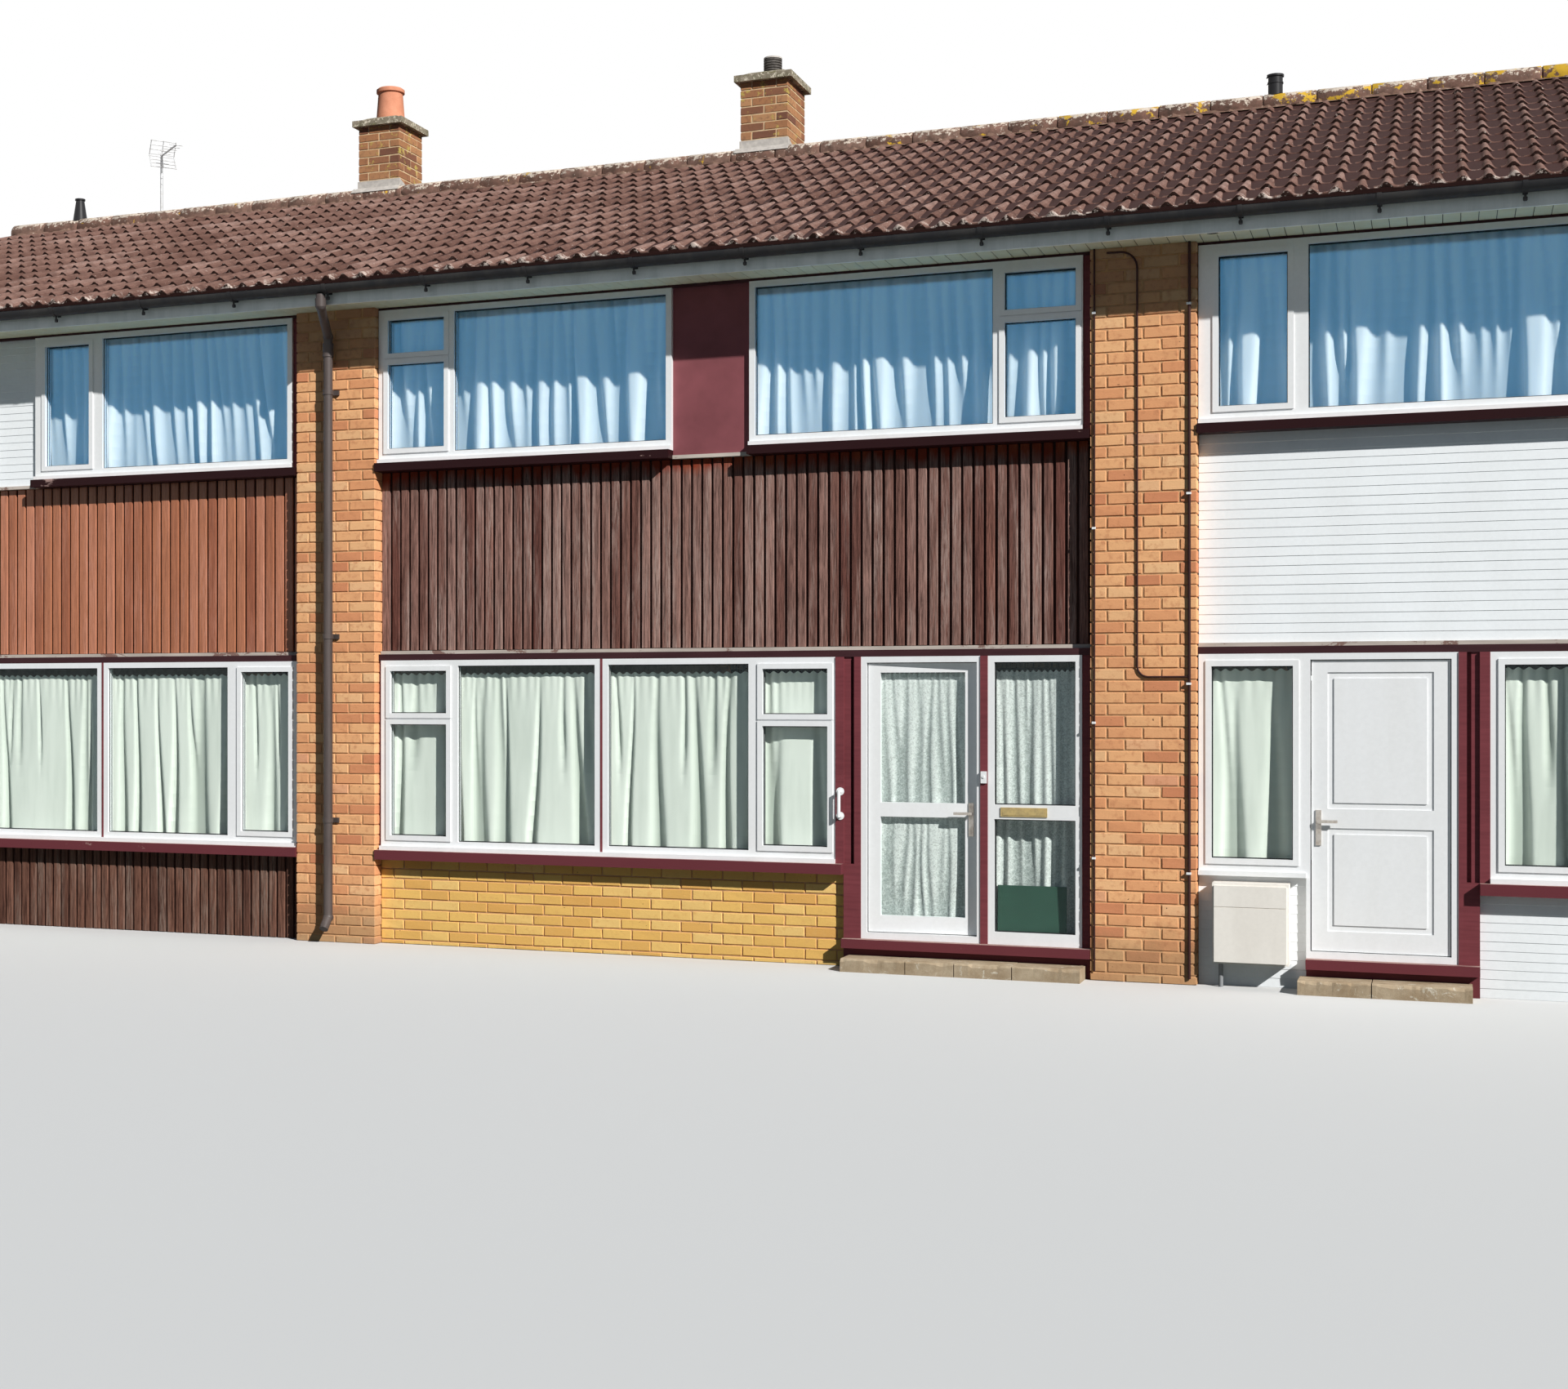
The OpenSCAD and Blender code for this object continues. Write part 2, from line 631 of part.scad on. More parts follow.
module centre_posts() {
    lower_window_posts();
    upper_strip(half_bay - side_strip_w, half_bay);
    block([door_x + door_w, side_light_x], [post_y, post_back], [door_foot_z, lower_head_z]);
    block([side_light_x + side_light_w, half_bay], [post_y + strip_back, post_back],
        [door_foot_z, lower_head_z]);
}
module outer_posts() {
    lower_window_posts();
    upper_strip(-half_bay, outer_left_x);
}
module timber_posts() {
    color("#5c2428") {
        on_front() centre_posts();
        each_rear() centre_posts();
        for (i = [-1, 1]) on_front() at_house(i) outer_posts();
    }
}
module jamb_pair(w) {
    for (x = [[door_x, door_x + hinge_jamb_w], [door_x + w - lock_jamb_w, door_x + w]])
        block(x, [lower_frame_y, lower_frame_y + frame_d], [door_foot_z, lower_head_z]);
}
module rail_pair(w) {
    for (z = [[door_foot_z, door_foot_z + threshold_h], [lower_head_z - door_head_h, lower_head_z]])
        block([door_x + hinge_jamb_w, door_x + w - lock_jamb_w], [lower_frame_y, lower_frame_y + frame_d], z);
}
module door_jambs() {
    color("#f4f4f0") {
        on_front() for (i = houses) at_house(i) jamb_pair(i == 0 ? door_w : outer_door_w);
        each_rear() jamb_pair(door_w);
    }
}
module door_rails() {
    color("#f4f4f0") {
        on_front() for (i = houses) at_house(i) rail_pair(i == 0 ? door_w : outer_door_w);
        each_rear() rail_pair(door_w);
    }
}
module door_sill(x1) {
    block([posts_x, x1], [-timber_sill_nose, stud_y], [door_board_z, door_foot_z]);
    block([posts_x, x1], [post_y, stud_y], [0, door_board_z]);
}
module door_sills() {
    color("#5c2428") {
        on_front() for (i = houses) at_house(i) door_sill(i == 0 ? half_bay : outer_side_x);
        each_rear() door_sill(half_bay);
    }
}
module doorstep(x1) { block([posts_x + 40, x1], [-step_out, post_y - seat], [0, step_h]); }
module doorsteps() {
    color("#b3aa98") {
        on_front() doorstep(half_bay - 30);
        each_rear() doorstep(half_bay - 30);
        for (i = [-1, 1]) on_front() at_house(i) doorstep(outer_side_x + 40);
    }
}

// Door leaves are drawn with the hinge axis on the origin and swing about it
module at_hinge() { translate([leaf_x, leaf_y + leaf_t, leaf_z]) children(); }
module knuckles() {
    knuckle_h = 90;
    for (z = [0.09, 0.5, 0.86] * leaf_h) translate([0, 0, z]) cylinder(h = knuckle_h, r = knuckle_r);
}
function leaf_lights(w) = [
    [leaf_stile_w, leaf_foot_h, w - 2 * leaf_stile_w, mid_rail_z - leaf_z - leaf_foot_h],
    [leaf_stile_w, rail_top_z - leaf_z, w - 2 * leaf_stile_w, leaf_h - leaf_head_h - rail_top_z + leaf_z]];
module glazed_leaf(w) {
    translate([0, -leaf_t, 0]) face_extrude(leaf_t) difference() {
        square([w, leaf_h]);
        for (r = leaf_lights(w)) light(r);
    }
    knuckles();
}
module leaf_panes(w) {
    translate([0, -(leaf_t + glass_t) / 2, 0]) for (r = leaf_lights(w)) face_extrude(glass_t) light(r);
}
module panelled_leaf(w) {
    mould_in = 12;
    mould_w = 38;
    mould_d = 8;
    difference() {
        union() {
            translate([0, -leaf_t, 0]) cube([w, leaf_t, leaf_h]);
            knuckles();
        }
        for (r = leaf_lights(w)) translate([0, -leaf_t - 1, 0]) face_extrude(mould_d + 1) difference() {
            light(r, -mould_in);
            light(r, -mould_in - mould_w);
        }
    }
}
// Lever handle: a back plate, a round neck and a flat bar towards the hinges
module lever() {
    plate = [32, 9, 220];
    plate_drop = 150;
    neck_l = 34;
    neck_r = 10;
    bar = [122, 14, 18];
    translate([-plate[0] / 2, -plate[1], -plate_drop]) cube(plate);
    translate([0, -plate[1], 0]) rotate([90, 0, 0]) cylinder(h = neck_l, r = neck_r);
    translate([neck_r - bar[0], -plate[1] - neck_l - 3, -bar[2] / 2]) cube(bar);
}
module lever_pair(w) {
    lever_rise = 30;
    for (side = [0, 1]) translate([w - leaf_stile_w / 2, side == 0 ? -leaf_t - seat : seat,
        mid_rail_z - leaf_z + lever_rise]) mirror([0, side, 0]) lever();
}
module swung() { on_front() at_hinge() rotate([0, 0, door_ajar]) children(); }
module front_door_leaf() { color("#f4f4f0") swung() glazed_leaf(leaf_w); }
module front_door_glass() { color("#8fa5b0") swung() leaf_panes(leaf_w); }
module front_door_handle() { color("#b8b0a0") swung() lever_pair(leaf_w); }
module front_door_curtain() {
    lap = 14;
    net_t = 16;
    color("#dcdcd4") swung() block([leaf_stile_w - lap, leaf_w - leaf_stile_w + lap - 6], [seat, net_t + seat],
        [leaf_foot_h - lap - 6, leaf_h - leaf_head_h + lap]);
}
module right_door_leaf() { color("#f4f4f0") on_front() at_house(1) at_hinge() panelled_leaf(outer_leaf_w); }
module right_door_handle() { color("#b8b0a0") on_front() at_house(1) at_hinge() lever_pair(outer_leaf_w); }
module fixed_doors() {
    color("#f4f4f0") {
        on_front() at_house(-1) at_hinge() panelled_leaf(outer_leaf_w);
        each_rear() at_hinge() panelled_leaf(leaf_w);
    }
}

// Small fittings at the centre door
module letter_plate() {
    plate = [303, 8, 60];
    flap = [275, 4, 40];
    flap_x = (plate[0] - flap[0]) / 2;
    flap_z = (plate[2] - flap[2]) / 2;
    color("#8c7440") on_front()
        translate([side_light_x + 85, lower_frame_y - seat, mid_rail_z + (mid_rail_h - plate[2]) / 2]) {
            translate([0, -plate[1], 0]) cube(plate);
            translate([flap_x, -plate[1] - flap[1], flap_z]) cube(flap);
        }
}
module grab_rail() {
    boss_r = 27;
    boss_t = 6;
    bar_r = 12;
    bar_out = 45;
    span = 165;
    color("#f0efe8") on_front() translate([lower_end_x + 0.2 * window_post_w, post_y - seat, mid_rail_z]) {
        for (z = [0, span]) translate([0, 0, z]) rotate([90, 0, 0]) {
            cylinder(h = boss_t, r = boss_r);
            cylinder(h = bar_out, r = bar_r);
        }
        translate([0, -bar_out, -8]) cylinder(h = span + 16, r = bar_r);
    }
}
module bell_push() {
    case = [38, 14, 78];
    button_r = 9;
    button_t = 5;
    bell_z = rail_top_z + 139;
    color("#efeee6") on_front() translate([door_x + door_w + door_post_w / 2, post_y - seat, bell_z]) {
        translate([-case[0] / 2, -case[1], 0]) cube(case);
        translate([0, -case[1], 42]) rotate([90, 0, 0]) cylinder(h = button_t, r = button_r);
    }
}
meter_x = outer_side_x + 95;
meter_w = 455;
meter_h = 505;
meter_z = 155;
meter_out = 175;
module meter_box() {
    y = plinth_y - meter_out;
    lid_in = 12;
    lid_t = 14;
    slit_h = 5;
    slit_z = meter_z + 0.7 * meter_h;
    color("#e9e7e0") on_front() at_house(1) difference() {
        union() {
            block([meter_x, meter_x + meter_w], [y, plinth_y - seat], [meter_z, meter_z + meter_h]);
            block([meter_x + lid_in, meter_x + meter_w - lid_in], [y - lid_t, y],
                [meter_z + lid_in, meter_z + meter_h - lid_in - 4]);
        }
        block([meter_x, meter_x + meter_w], [y - lid_t - 1, y - lid_t + 4], [slit_z, slit_z + slit_h]);
    }
}
module meter_pipe() {
    supply_r = 14;
    color("#8b8d90") on_front() at_house(1) translate([meter_x + meter_w - 45, plinth_y - meter_out / 2, 0])
        cylinder(h = meter_z - seat, r = supply_r);
}

// Plain sheets that stand for the gathered net curtains
curtain_y = stud_back - 92;
curtain_t = 68;
curtain_in = 30;
module curtain(x, w, z0, z1) {
    block([x + curtain_in, x + w - curtain_in], [curtain_y, curtain_y + curtain_t], [z0 + seat, z1 - seat]);
}
module upper_curtain_set(set) { for (s = set) curtain(s[0], s[1], upper_sill_z, upper_head_z); }
module lower_curtain_set(set) { for (s = set) curtain(s[0], s[1], lower_sill_z, lower_head_z); }
module side_light_curtain() { curtain(side_light_x, side_light_w, door_foot_z, lower_head_z); }
module upper_curtains() {
    color("#dde3e8") {
        on_front() for (i = houses) at_house(i) upper_curtain_set(upper_set(i));
        each_rear() upper_curtain_set(centre_upper);
    }
}
module lower_curtains() {
    color("#dde3e0") {
        on_front() for (i = houses) at_house(i) lower_curtain_set(lower_set(i));
        on_front() side_light_curtain();
        for (i = [-1, 1]) on_front() at_house(i)
            curtain(outer_side_x, outer_side_w, lower_sill_z, lower_head_z);
        each_rear() {
            lower_curtain_set(centre_lower);
            side_light_curtain();
        }
    }
}

module soffits() {
    y_back = half_depth - beam_y + seat;
    color("#d8d3bf") for (side = [0, 1]) mirror([0, side, 0])
        block([-half_row, half_row], [-fascia_y + fascia_t + seat, -y_back], [soffit_z, soffit_z + soffit_t]);
}
module fascias() {
    z0 = soffit_z - fascia_drop;
    color("#c4c8c8") for (side = [0, 1]) mirror([0, side, 0])
        block([-half_row, half_row], [-fascia_y, -fascia_y + fascia_t], [z0, z0 + fascia_h]);
}
// Half-round outline, cut off level at the given height over its centre
module half_round(r, top) {
    difference() {
        circle(r, $fn = 48);
        translate([-r - 1, top]) square([2 * r + 2, r + 1]);
    }
}
module gutter() {
    wall = 4;
    bracket_w = 28;
    bracket_t = 4;
    n = floor(2 * half_row / bracket_pitch);
    translate([0, -gutter_y, gutter_z]) {
        along_row(2 * half_row) difference() {
            half_round(gutter_r, 0);
            circle(gutter_r - wall, $fn = 48);
        }
        for (end = [-1, 1]) translate([end * (half_row - wall / 2), 0, 0])
            along_row(wall) half_round(gutter_r, 0);
        for (k = [0 : n]) translate([(k - n / 2) * bracket_pitch, 0, 0]) {
            along_row(bracket_w) difference() {
                half_round(gutter_r + bracket_t, bracket_t);
                circle(gutter_r - wall / 2, $fn = 48);
            }
            block([-bracket_w / 2, bracket_w / 2], [gutter_r - wall / 2, gutter_y - fascia_y - seat],
                [-gutter_r, 3 * bracket_t]);
        }
    }
}
module gutters() { color("#1d1d20") for (side = [0, 1]) mirror([0, side, 0]) gutter(); }
pipe_x = -house_pitch / 2 - 28;
outlet_x = pipe_x + 138;
pipe_off = 22;
bend_r = pipe_r + 5;
module pipe_clip(wall_y, z) {
    clip_h = 36;
    plate_t = 14;
    translate([pipe_x, wall_y, z]) cylinder(h = clip_h, r = bend_r);
    block([pipe_x - pipe_off, pipe_x + pipe_off], [wall_y + pipe_r - 4, -half_depth - seat], [z, z + clip_h]);
    block([pipe_x - 3 * pipe_off, pipe_x + 3 * pipe_off], [-half_depth - plate_t, -half_depth - seat],
        [z, z + clip_h]);
}
// Downpipe: outlet under the gutter, swan neck back to the pier, and a shoe near the ground
module downpipe() {
    wall_y = -half_depth - pipe_r - pipe_off;
    socket_r = pipe_r + 6;
    outlet = [outlet_x, -gutter_y, gutter_z - gutter_r - seat - 4];
    neck_top = outlet - [0, 0, 2.4 * pipe_r];
    neck_foot = [pipe_x, wall_y, neck_top[2] - 160];
    shoe = [pipe_x, wall_y, 190];
    shoe_end = shoe - [0, 2 * pipe_r, 80];
    for (run = [[outlet, neck_top], [neck_top, neck_foot], [neck_foot, shoe], [shoe, shoe_end]])
        rod(run[0], run[1], pipe_r);
    for (p = [neck_top, neck_foot, shoe]) translate(p) sphere(bend_r);
    translate(neck_foot - [0, 0, 150]) cylinder(h = 100, r = socket_r);
    translate(neck_top - [0, 0, 10]) cylinder(h = 60, r = socket_r);
    for (f = [0.19, 0.48, 0.865]) pipe_clip(wall_y, f * soffit_z);
}
module downpipes() { color("#1d1d20") for (side = [0, 1]) mirror([0, side, 0]) downpipe(); }
module cable(x, r, foot, head = soffit_z - seat) {
    translate([x, -r - seat, foot]) cylinder(h = head - foot, r = r);
}
module cable_clips(x, r, heights) {
    for (f = heights) block([x - r - 8, x + r + 3], [-2 * r - 5, -seat], [f * soffit_z, f * soffit_z + 14]);
}
// Quarter turn of a cable about the point [x, z], from the given angle on
module cable_turn(x, z, r, turn_r, start) {
    translate([x, -r - seat, z]) rotate([90, 0, 0]) rotate([0, 0, start]) rotate_extrude(angle = 90)
        translate([turn_r, 0]) circle(r);
}
module cable_run(x0, x1, r, z) {
    translate([x0, -r - seat, z]) rotate([0, 90, 0]) cylinder(h = x1 - x0, r = r);
}
module pier_cables() {
    thin_r = 6;
    thick_r = 9;
    left_x = house_pitch / 2 - pier_w / 2 + 30;
    right_x = house_pitch / 2 + pier_w / 2 - 45;
    middle_x = house_pitch / 2 - 34;
    turn_r = 70;
    turn_z = lower_head_z - 144;
    head_r = 110;
    head_z = soffit_z - 32;
    head_run = 80;
    color("#2b2326") on_front() {
        cable(left_x, thin_r, 60);
        cable_clips(left_x, thin_r, [0.166, 0.351, 0.617, 0.911]);
        cable(right_x, thick_r, 40);
        cable_clips(right_x, thick_r, [0.149, 0.404, 0.66, 0.915]);
        cable(middle_x, thin_r, turn_z + turn_r, head_z - head_r);
        cable_turn(middle_x + turn_r, turn_z + turn_r, thin_r, turn_r, 180);
        cable_run(middle_x + turn_r, right_x - thick_r, thin_r, turn_z);
        cable_turn(middle_x - head_r, head_z - head_r, thin_r, head_r, 0);
        cable_run(middle_x - head_r - head_run, middle_x - head_r, thin_r, head_z);
    }
}

module roof_slopes() {
    color("#5a4038") for (side = [0, 1]) mirror([0, side, 0]) roof_slope();
}
function stack_x(i) = i == 0 ? -chimney_x : -outer_chimney_x;
function stack_d(i) = i == 0 ? chimney_d : outer_chimney_d;
module stack_box(i, grow, z0, z1) {
    at_house(i) block([stack_x(i) - chimney_w / 2 - grow, stack_x(i) + chimney_w / 2 + grow],
        [-grow, stack_d(i) + grow], [z0, z1]);
}
flashing_t = 6;
flashing_h = 130;
module ridge_tiles() {
    n = ceil(2 * half_row / ridge_tile_l);
    color("#6a5040") above_roof() difference() {
        union() {
            translate([0, 0, ridge_z]) along_row(2 * half_row) circle(ridge_r - 8, $fn = 48);
            for (k = [0 : n - 1]) {
                x0 = -half_row + k * ridge_tile_l;
                l = min(ridge_tile_l - 12, half_row - x0);
                if (l > 20) translate([x0 + l / 2, 0, ridge_z]) along_row(l) circle(ridge_r, $fn = 48);
            }
        }
        for (i = houses) stack_box(i, flashing_t + seat, 0, stack_top_z);
    }
}
module chimney_stacks() {
    color("#a8623c") above_roof() for (i = houses) stack_box(i, 0, eaves_z, stack_top_z);
}
// Lead collar round a stack, with an apron dressed over the front of the ridge tiles
module ridge_apron(i) {
    apron_in = ridge_r + seat;
    apron_foot = 0.5 * ridge_r;
    apron_lap = 30;
    l = chimney_w + 2 * apron_lap;
    at_house(i) translate([stack_x(i), 0, ridge_z]) intersection() {
        along_row(l) difference() {
            circle(apron_in + flashing_t, $fn = 48);
            circle(apron_in, $fn = 48);
        }
        block([-l / 2, l / 2], [-2 * ridge_r, -seat], [apron_foot, 2 * ridge_r]);
    }
}
module chimney_flashings() {
    color("#b9bcc0") for (i = houses) {
        difference() {
            intersection() {
                stack_box(i, flashing_t, eaves_z, stack_top_z);
                roof_envelope(tile_top + flashing_h);
            }
            roof_envelope(tile_top + seat);
            stack_box(i, seat, eaves_z - 10, stack_top_z + 10);
        }
        ridge_apron(i);
    }
}
// Cap slab with mortar that slopes in towards the pot, cut by two crossing outlines
module flaunching_outline(l) {
    foot = l / 2 - 25;
    head = l / 2 - 115;
    top = cap_t + flaunching_h;
    polygon([[-foot, cap_t - 1], [foot, cap_t - 1], [head, top], [-head, top]]);
}
module cap(i) {
    w = chimney_w + 2 * cap_out;
    d = stack_d(i) + 2 * cap_out;
    at_house(i) translate([stack_x(i), stack_d(i) / 2, stack_top_z + seat]) {
        translate([-w / 2, -d / 2, 0]) cube([w, d, cap_t]);
        intersection() {
            translate([0, -d / 2, 0]) face_extrude(d) flaunching_outline(w);
            along_row(w) flaunching_outline(d);
        }
    }
}
module chimney_caps() { color("#9a9284") for (i = houses) cap(i); }
module on_cap(i) {
    at_house(i) translate([stack_x(i), stack_d(i) / 2, stack_top_z + 2 * seat + cap_t + flaunching_h])
        children();
}
// Clay pot: tapered wall with a plain foot and a rolled rim, open at the top
module clay_pot() {
    wall = 22;
    foot_h = 30;
    lip = 4;
    rim = 22;
    top_r = pot_r * 0.84;
    rotate_extrude($fn = 48) polygon([[pot_r - wall, 0], [pot_r, 0], [pot_r, foot_h], [top_r + lip, pot_h - 52],
        [top_r + rim, pot_h - 44], [top_r + rim, pot_h - 14], [top_r + lip, pot_h], [top_r + lip - wall, pot_h],
        [top_r - wall, pot_h - 20], [pot_r - wall, foot_h]]);
}
module chimney_pots() { color("#b5603a") for (i = [-1, 1]) on_cap(i) clay_pot(); }
// Ribbed metal terminal with a shallow cone on top
module flue_terminal() {
    rib_n = 6;
    rib_pitch = 31;
    rib_d = 12;
    foot_h = 30;
    cone_z = foot_h + rib_n * rib_pitch + 30;
    ribs = [for (k = [0 : rib_n - 1]) each let (z = foot_h + k * rib_pitch)
        [[terminal_r, z], [terminal_r - rib_d, z + rib_d / 2], [terminal_r, z + rib_pitch]]];
    color("#4a4642") on_cap(0) rotate_extrude($fn = 48)
        polygon(concat([[0, 0], [terminal_r, 0]], ribs, [[terminal_r - 20, cone_z], [0, cone_z + 8]]));
}
// Vents that stand on the ridge: a tapered one on the left house and a straight one with a band
module on_ridge(x) {
    difference() {
        translate([x, 0, ridge_z]) children();
        translate([0, 0, ridge_z]) along_row(2 * half_row) circle(ridge_r + seat, $fn = 48);
    }
}
module roof_vents() {
    foot_z = 0.6 * ridge_r;
    cone_h = 231;
    cone_r = [77, 42];
    tube_h = 177;
    tube_r = 60;
    rim_h = 16;
    rim_out = 10;
    band_drop = 57;
    band_h = 12;
    band_out = 5;
    color("#222326") {
        on_ridge(-1.421 * house_pitch) translate([0, 0, foot_z]) {
            cylinder(h = cone_h, r1 = cone_r[0], r2 = cone_r[1]);
            translate([0, 0, cone_h]) cylinder(h = rim_h, r = cone_r[1] + rim_out);
        }
        on_ridge(0.5856 * house_pitch) translate([0, 0, foot_z]) {
            cylinder(h = tube_h, r = tube_r);
            translate([0, 0, tube_h - band_drop]) cylinder(h = band_h, r = tube_r + band_out);
            translate([0, 0, tube_h]) cylinder(h = rim_h, r = tube_r + rim_out);
        }
    }
}
// Aerial: mast with a foot on the rear slope, a boom with short rods, and two grids that lean out from it
module aerial_grid(lean) {
    rod_r = 4;
    grid_w = 275;
    grid_l = 151;
    rod_n = 4;
    rotate([0, lean, 0]) {
        for (k = [0 : rod_n - 1]) translate([0, -grid_w / 2, 12 + k * (grid_l - 12) / (rod_n - 1)])
            rotate([-90, 0, 0]) cylinder(h = grid_w, r = rod_r);
        for (f = [-0.47, 0, 0.47]) translate([0, f * grid_w, 0]) cylinder(h = grid_l + rod_r, r = rod_r);
    }
}
module tv_aerial() {
    mast_r = 14;
    mast_y = 340;
    sunk = 300;
    foot = [120, 120, 60];
    boom_l = 513;
    boom_r = 9;
    rod_r = 4;
    rod_l = 137;
    rod_n = 5;
    lean = 28;
    heading = -39;
    boom_z = ridge_top_z + 659;
    color("#c9ccd0") translate([-1.2906 * house_pitch, mast_y, 0]) {
        above_roof(mast_y) {
            translate([0, 0, ridge_z - sunk]) cylinder(h = boom_z - ridge_z + sunk + 2 * boom_r, r = mast_r);
            translate([-foot[0] / 2, -foot[1] / 2, ridge_z - 115]) cube(foot);
        }
        translate([0, 0, boom_z]) rotate([0, 0, heading]) {
            rotate([0, 90, 0]) cylinder(h = boom_l, r = boom_r);
            for (k = [1 : rod_n]) translate([k * boom_l / (rod_n + 0.3), -rod_l / 2, 0]) rotate([-90, 0, 0])
                cylinder(h = rod_l, r = rod_r);
            aerial_grid(lean);
            mirror([0, 0, 1]) aerial_grid(lean);
        }
    }
}

ground_floors();
first_floors();
party_walls();
piers();
plinth_walls();
spandrel_walls();
brown_cladding();
red_cladding();
white_shiplap();
timber_panels();
head_beams();
drip_trims();
timber_sills();
white_sills();
upper_window_frames();
upper_glass();
lower_window_frames();
lower_glass();
rear_window_frames();
rear_glass();
timber_posts();
door_jambs();
door_rails();
door_sills();
doorsteps();
front_door_leaf();
front_door_glass();
front_door_handle();
front_door_curtain();
right_door_leaf();
right_door_handle();
fixed_doors();
letter_plate();
grab_rail();
bell_push();
meter_box();
meter_pipe();
upper_curtains();
lower_curtains();
soffits();
fascias();
gutters();
downpipes();
pier_cables();
roof_slopes();
ridge_tiles();
chimney_stacks();
chimney_caps();
chimney_pots();
flue_terminal();
chimney_flashings();
roof_vents();
tv_aerial();
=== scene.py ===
import math
import random

import bpy
from mathutils import Matrix, Vector


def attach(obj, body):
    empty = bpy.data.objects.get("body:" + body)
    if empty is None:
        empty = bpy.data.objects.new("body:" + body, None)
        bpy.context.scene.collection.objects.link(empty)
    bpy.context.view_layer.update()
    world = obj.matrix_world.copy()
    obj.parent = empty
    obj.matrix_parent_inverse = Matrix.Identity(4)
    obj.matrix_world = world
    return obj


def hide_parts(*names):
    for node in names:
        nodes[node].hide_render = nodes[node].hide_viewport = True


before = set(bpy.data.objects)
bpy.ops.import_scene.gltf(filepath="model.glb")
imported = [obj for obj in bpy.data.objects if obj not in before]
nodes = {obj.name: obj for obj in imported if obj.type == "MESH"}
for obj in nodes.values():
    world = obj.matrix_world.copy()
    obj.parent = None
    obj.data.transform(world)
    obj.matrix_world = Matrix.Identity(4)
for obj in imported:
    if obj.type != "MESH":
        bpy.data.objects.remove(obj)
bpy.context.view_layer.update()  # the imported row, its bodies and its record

rowBody = "row"
finishes = {}
print("frame loaded,", len(nodes), "nodes")


# Mesh work
def place(name, data):
    thing = bpy.data.objects.new(name, data)
    bpy.context.scene.collection.objects.link(thing)
    return thing


def coat(mesh, *looks):
    # this sets every face back to the first look
    mesh.materials.clear()
    for look in looks:
        mesh.materials.append(finishes[look])


class Pile:
    # gathers many small solids into one mesh, each with a tone from 0 to 1
    def __init__(self, seed=0):
        self.rng = random.Random(seed)
        self.points, self.faces, self.tones, self.slots, self.smooth = [], [], [], [], []

    def add(self, points, faces, tone=0.5, slot=0, smooth=False):
        start = len(self.points)
        self.points += points
        self.faces += [[start + i for i in face] for face in faces]
        self.tones += tone if isinstance(tone, list) else [tone] * len(faces)
        self.slots += [slot] * len(faces)
        self.smooth += [smooth] * len(faces)

    def block(self, low, high, tone=0.5, slot=0, chamfer=0.0, shake=0.0, matrix=None):
        low, high = [min(a, b) for a, b in zip(low, high)], [max(a, b) for a, b in zip(low, high)]
        points, faces = chamferedBlock(low, high, chamfer) if chamfer else plainBlock(low, high)
        if shake:
            corner = {}
            for i, p in enumerate(points):
                key = tuple(0 if p[a] < (low[a] + high[a]) / 2 else 1 for a in range(3))
                if key not in corner:
                    corner[key] = [self.rng.uniform(-shake, shake) for a in range(3)]
                points[i] = [p[a] + corner[key][a] for a in range(3)]
        if matrix:
            points = [list(matrix @ Vector(p)) for p in points]
        self.add([tuple(p) for p in points], faces, tone, slot)

    def finish(self, name, looks, body=rowBody, replaces=()):
        mesh = bpy.data.meshes.new(name)
        mesh.from_pydata(self.points, [], self.faces)
        coat(mesh, *looks)
        mesh.attributes.new("tone", "FLOAT", "FACE").data.foreach_set("value", self.tones)
        mesh.polygons.foreach_set("material_index", self.slots)
        mesh.polygons.foreach_set("use_smooth", self.smooth)
        mesh.update()
        piece = place(name, mesh)
        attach(piece, body)
        if replaces:
            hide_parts(*replaces)
        return piece


def plainBlock(low, high):
    points = [[(low, high)[i >> a & 1][a] for a in range(3)] for i in range(8)]
    return points, [[0, 2, 3, 1], [4, 5, 7, 6], [0, 1, 5, 4], [2, 6, 7, 3], [0, 4, 6, 2], [1, 3, 7, 5]]


def chamferedBlock(low, high, chamfer):
    # three points at each corner, one pulled in from each face
    c = min([chamfer] + [(high[a] - low[a]) * 0.45 for a in range(3)])
    points, index, faces = [], {}, []
    for corner in range(8):
        side = [corner >> a & 1 for a in range(3)]
        for axis in range(3):  # the point that lies on the face square to this axis
            index[corner, axis] = len(points)
            points.append([(high[a] if side[a] else low[a]) + (0 if a == axis else (-c if side[a] else c))
                           for a in range(3)])
    square = ((0, 0), (1, 0), (1, 1), (0, 1))
    for axis in range(3):
        u, v = (axis + 1) % 3, (axis + 2) % 3
        for side in (0, 1):
            face = [index[side << axis | a << u | b << v, axis] for a, b in square]
            faces.append(face if side else face[::-1])
    for axis in range(3):  # edges along this axis
        u, v = (axis + 1) % 3, (axis + 2) % 3
        for a, b in square:
            near, far = a << u | b << v, 1 << axis | a << u | b << v
            face = [index[near, u], index[near, v], index[far, v], index[far, u]]
            faces.append(face if (a + b) % 2 == 0 else face[::-1])
    for corner in range(8):
        face = [index[corner, a] for a in range(3)]
        faces.append(face if bin(corner).count("1") % 2 else face[::-1])
    return points, faces


def turnedOver(faces):
    return [face[::-1] for face in faces]


def prism(outline, x0, x1):
    # an outline across the row, drawn out along it
    n = len(outline)
    faces = [list(range(n)), list(range(2 * n - 1, n - 1, -1))]
    faces += [[i, n + i, n + (i + 1) % n, (i + 1) % n] for i in range(n)]
    return [(x, y, z) for x in (x0, x1) for y, z in outline], faces


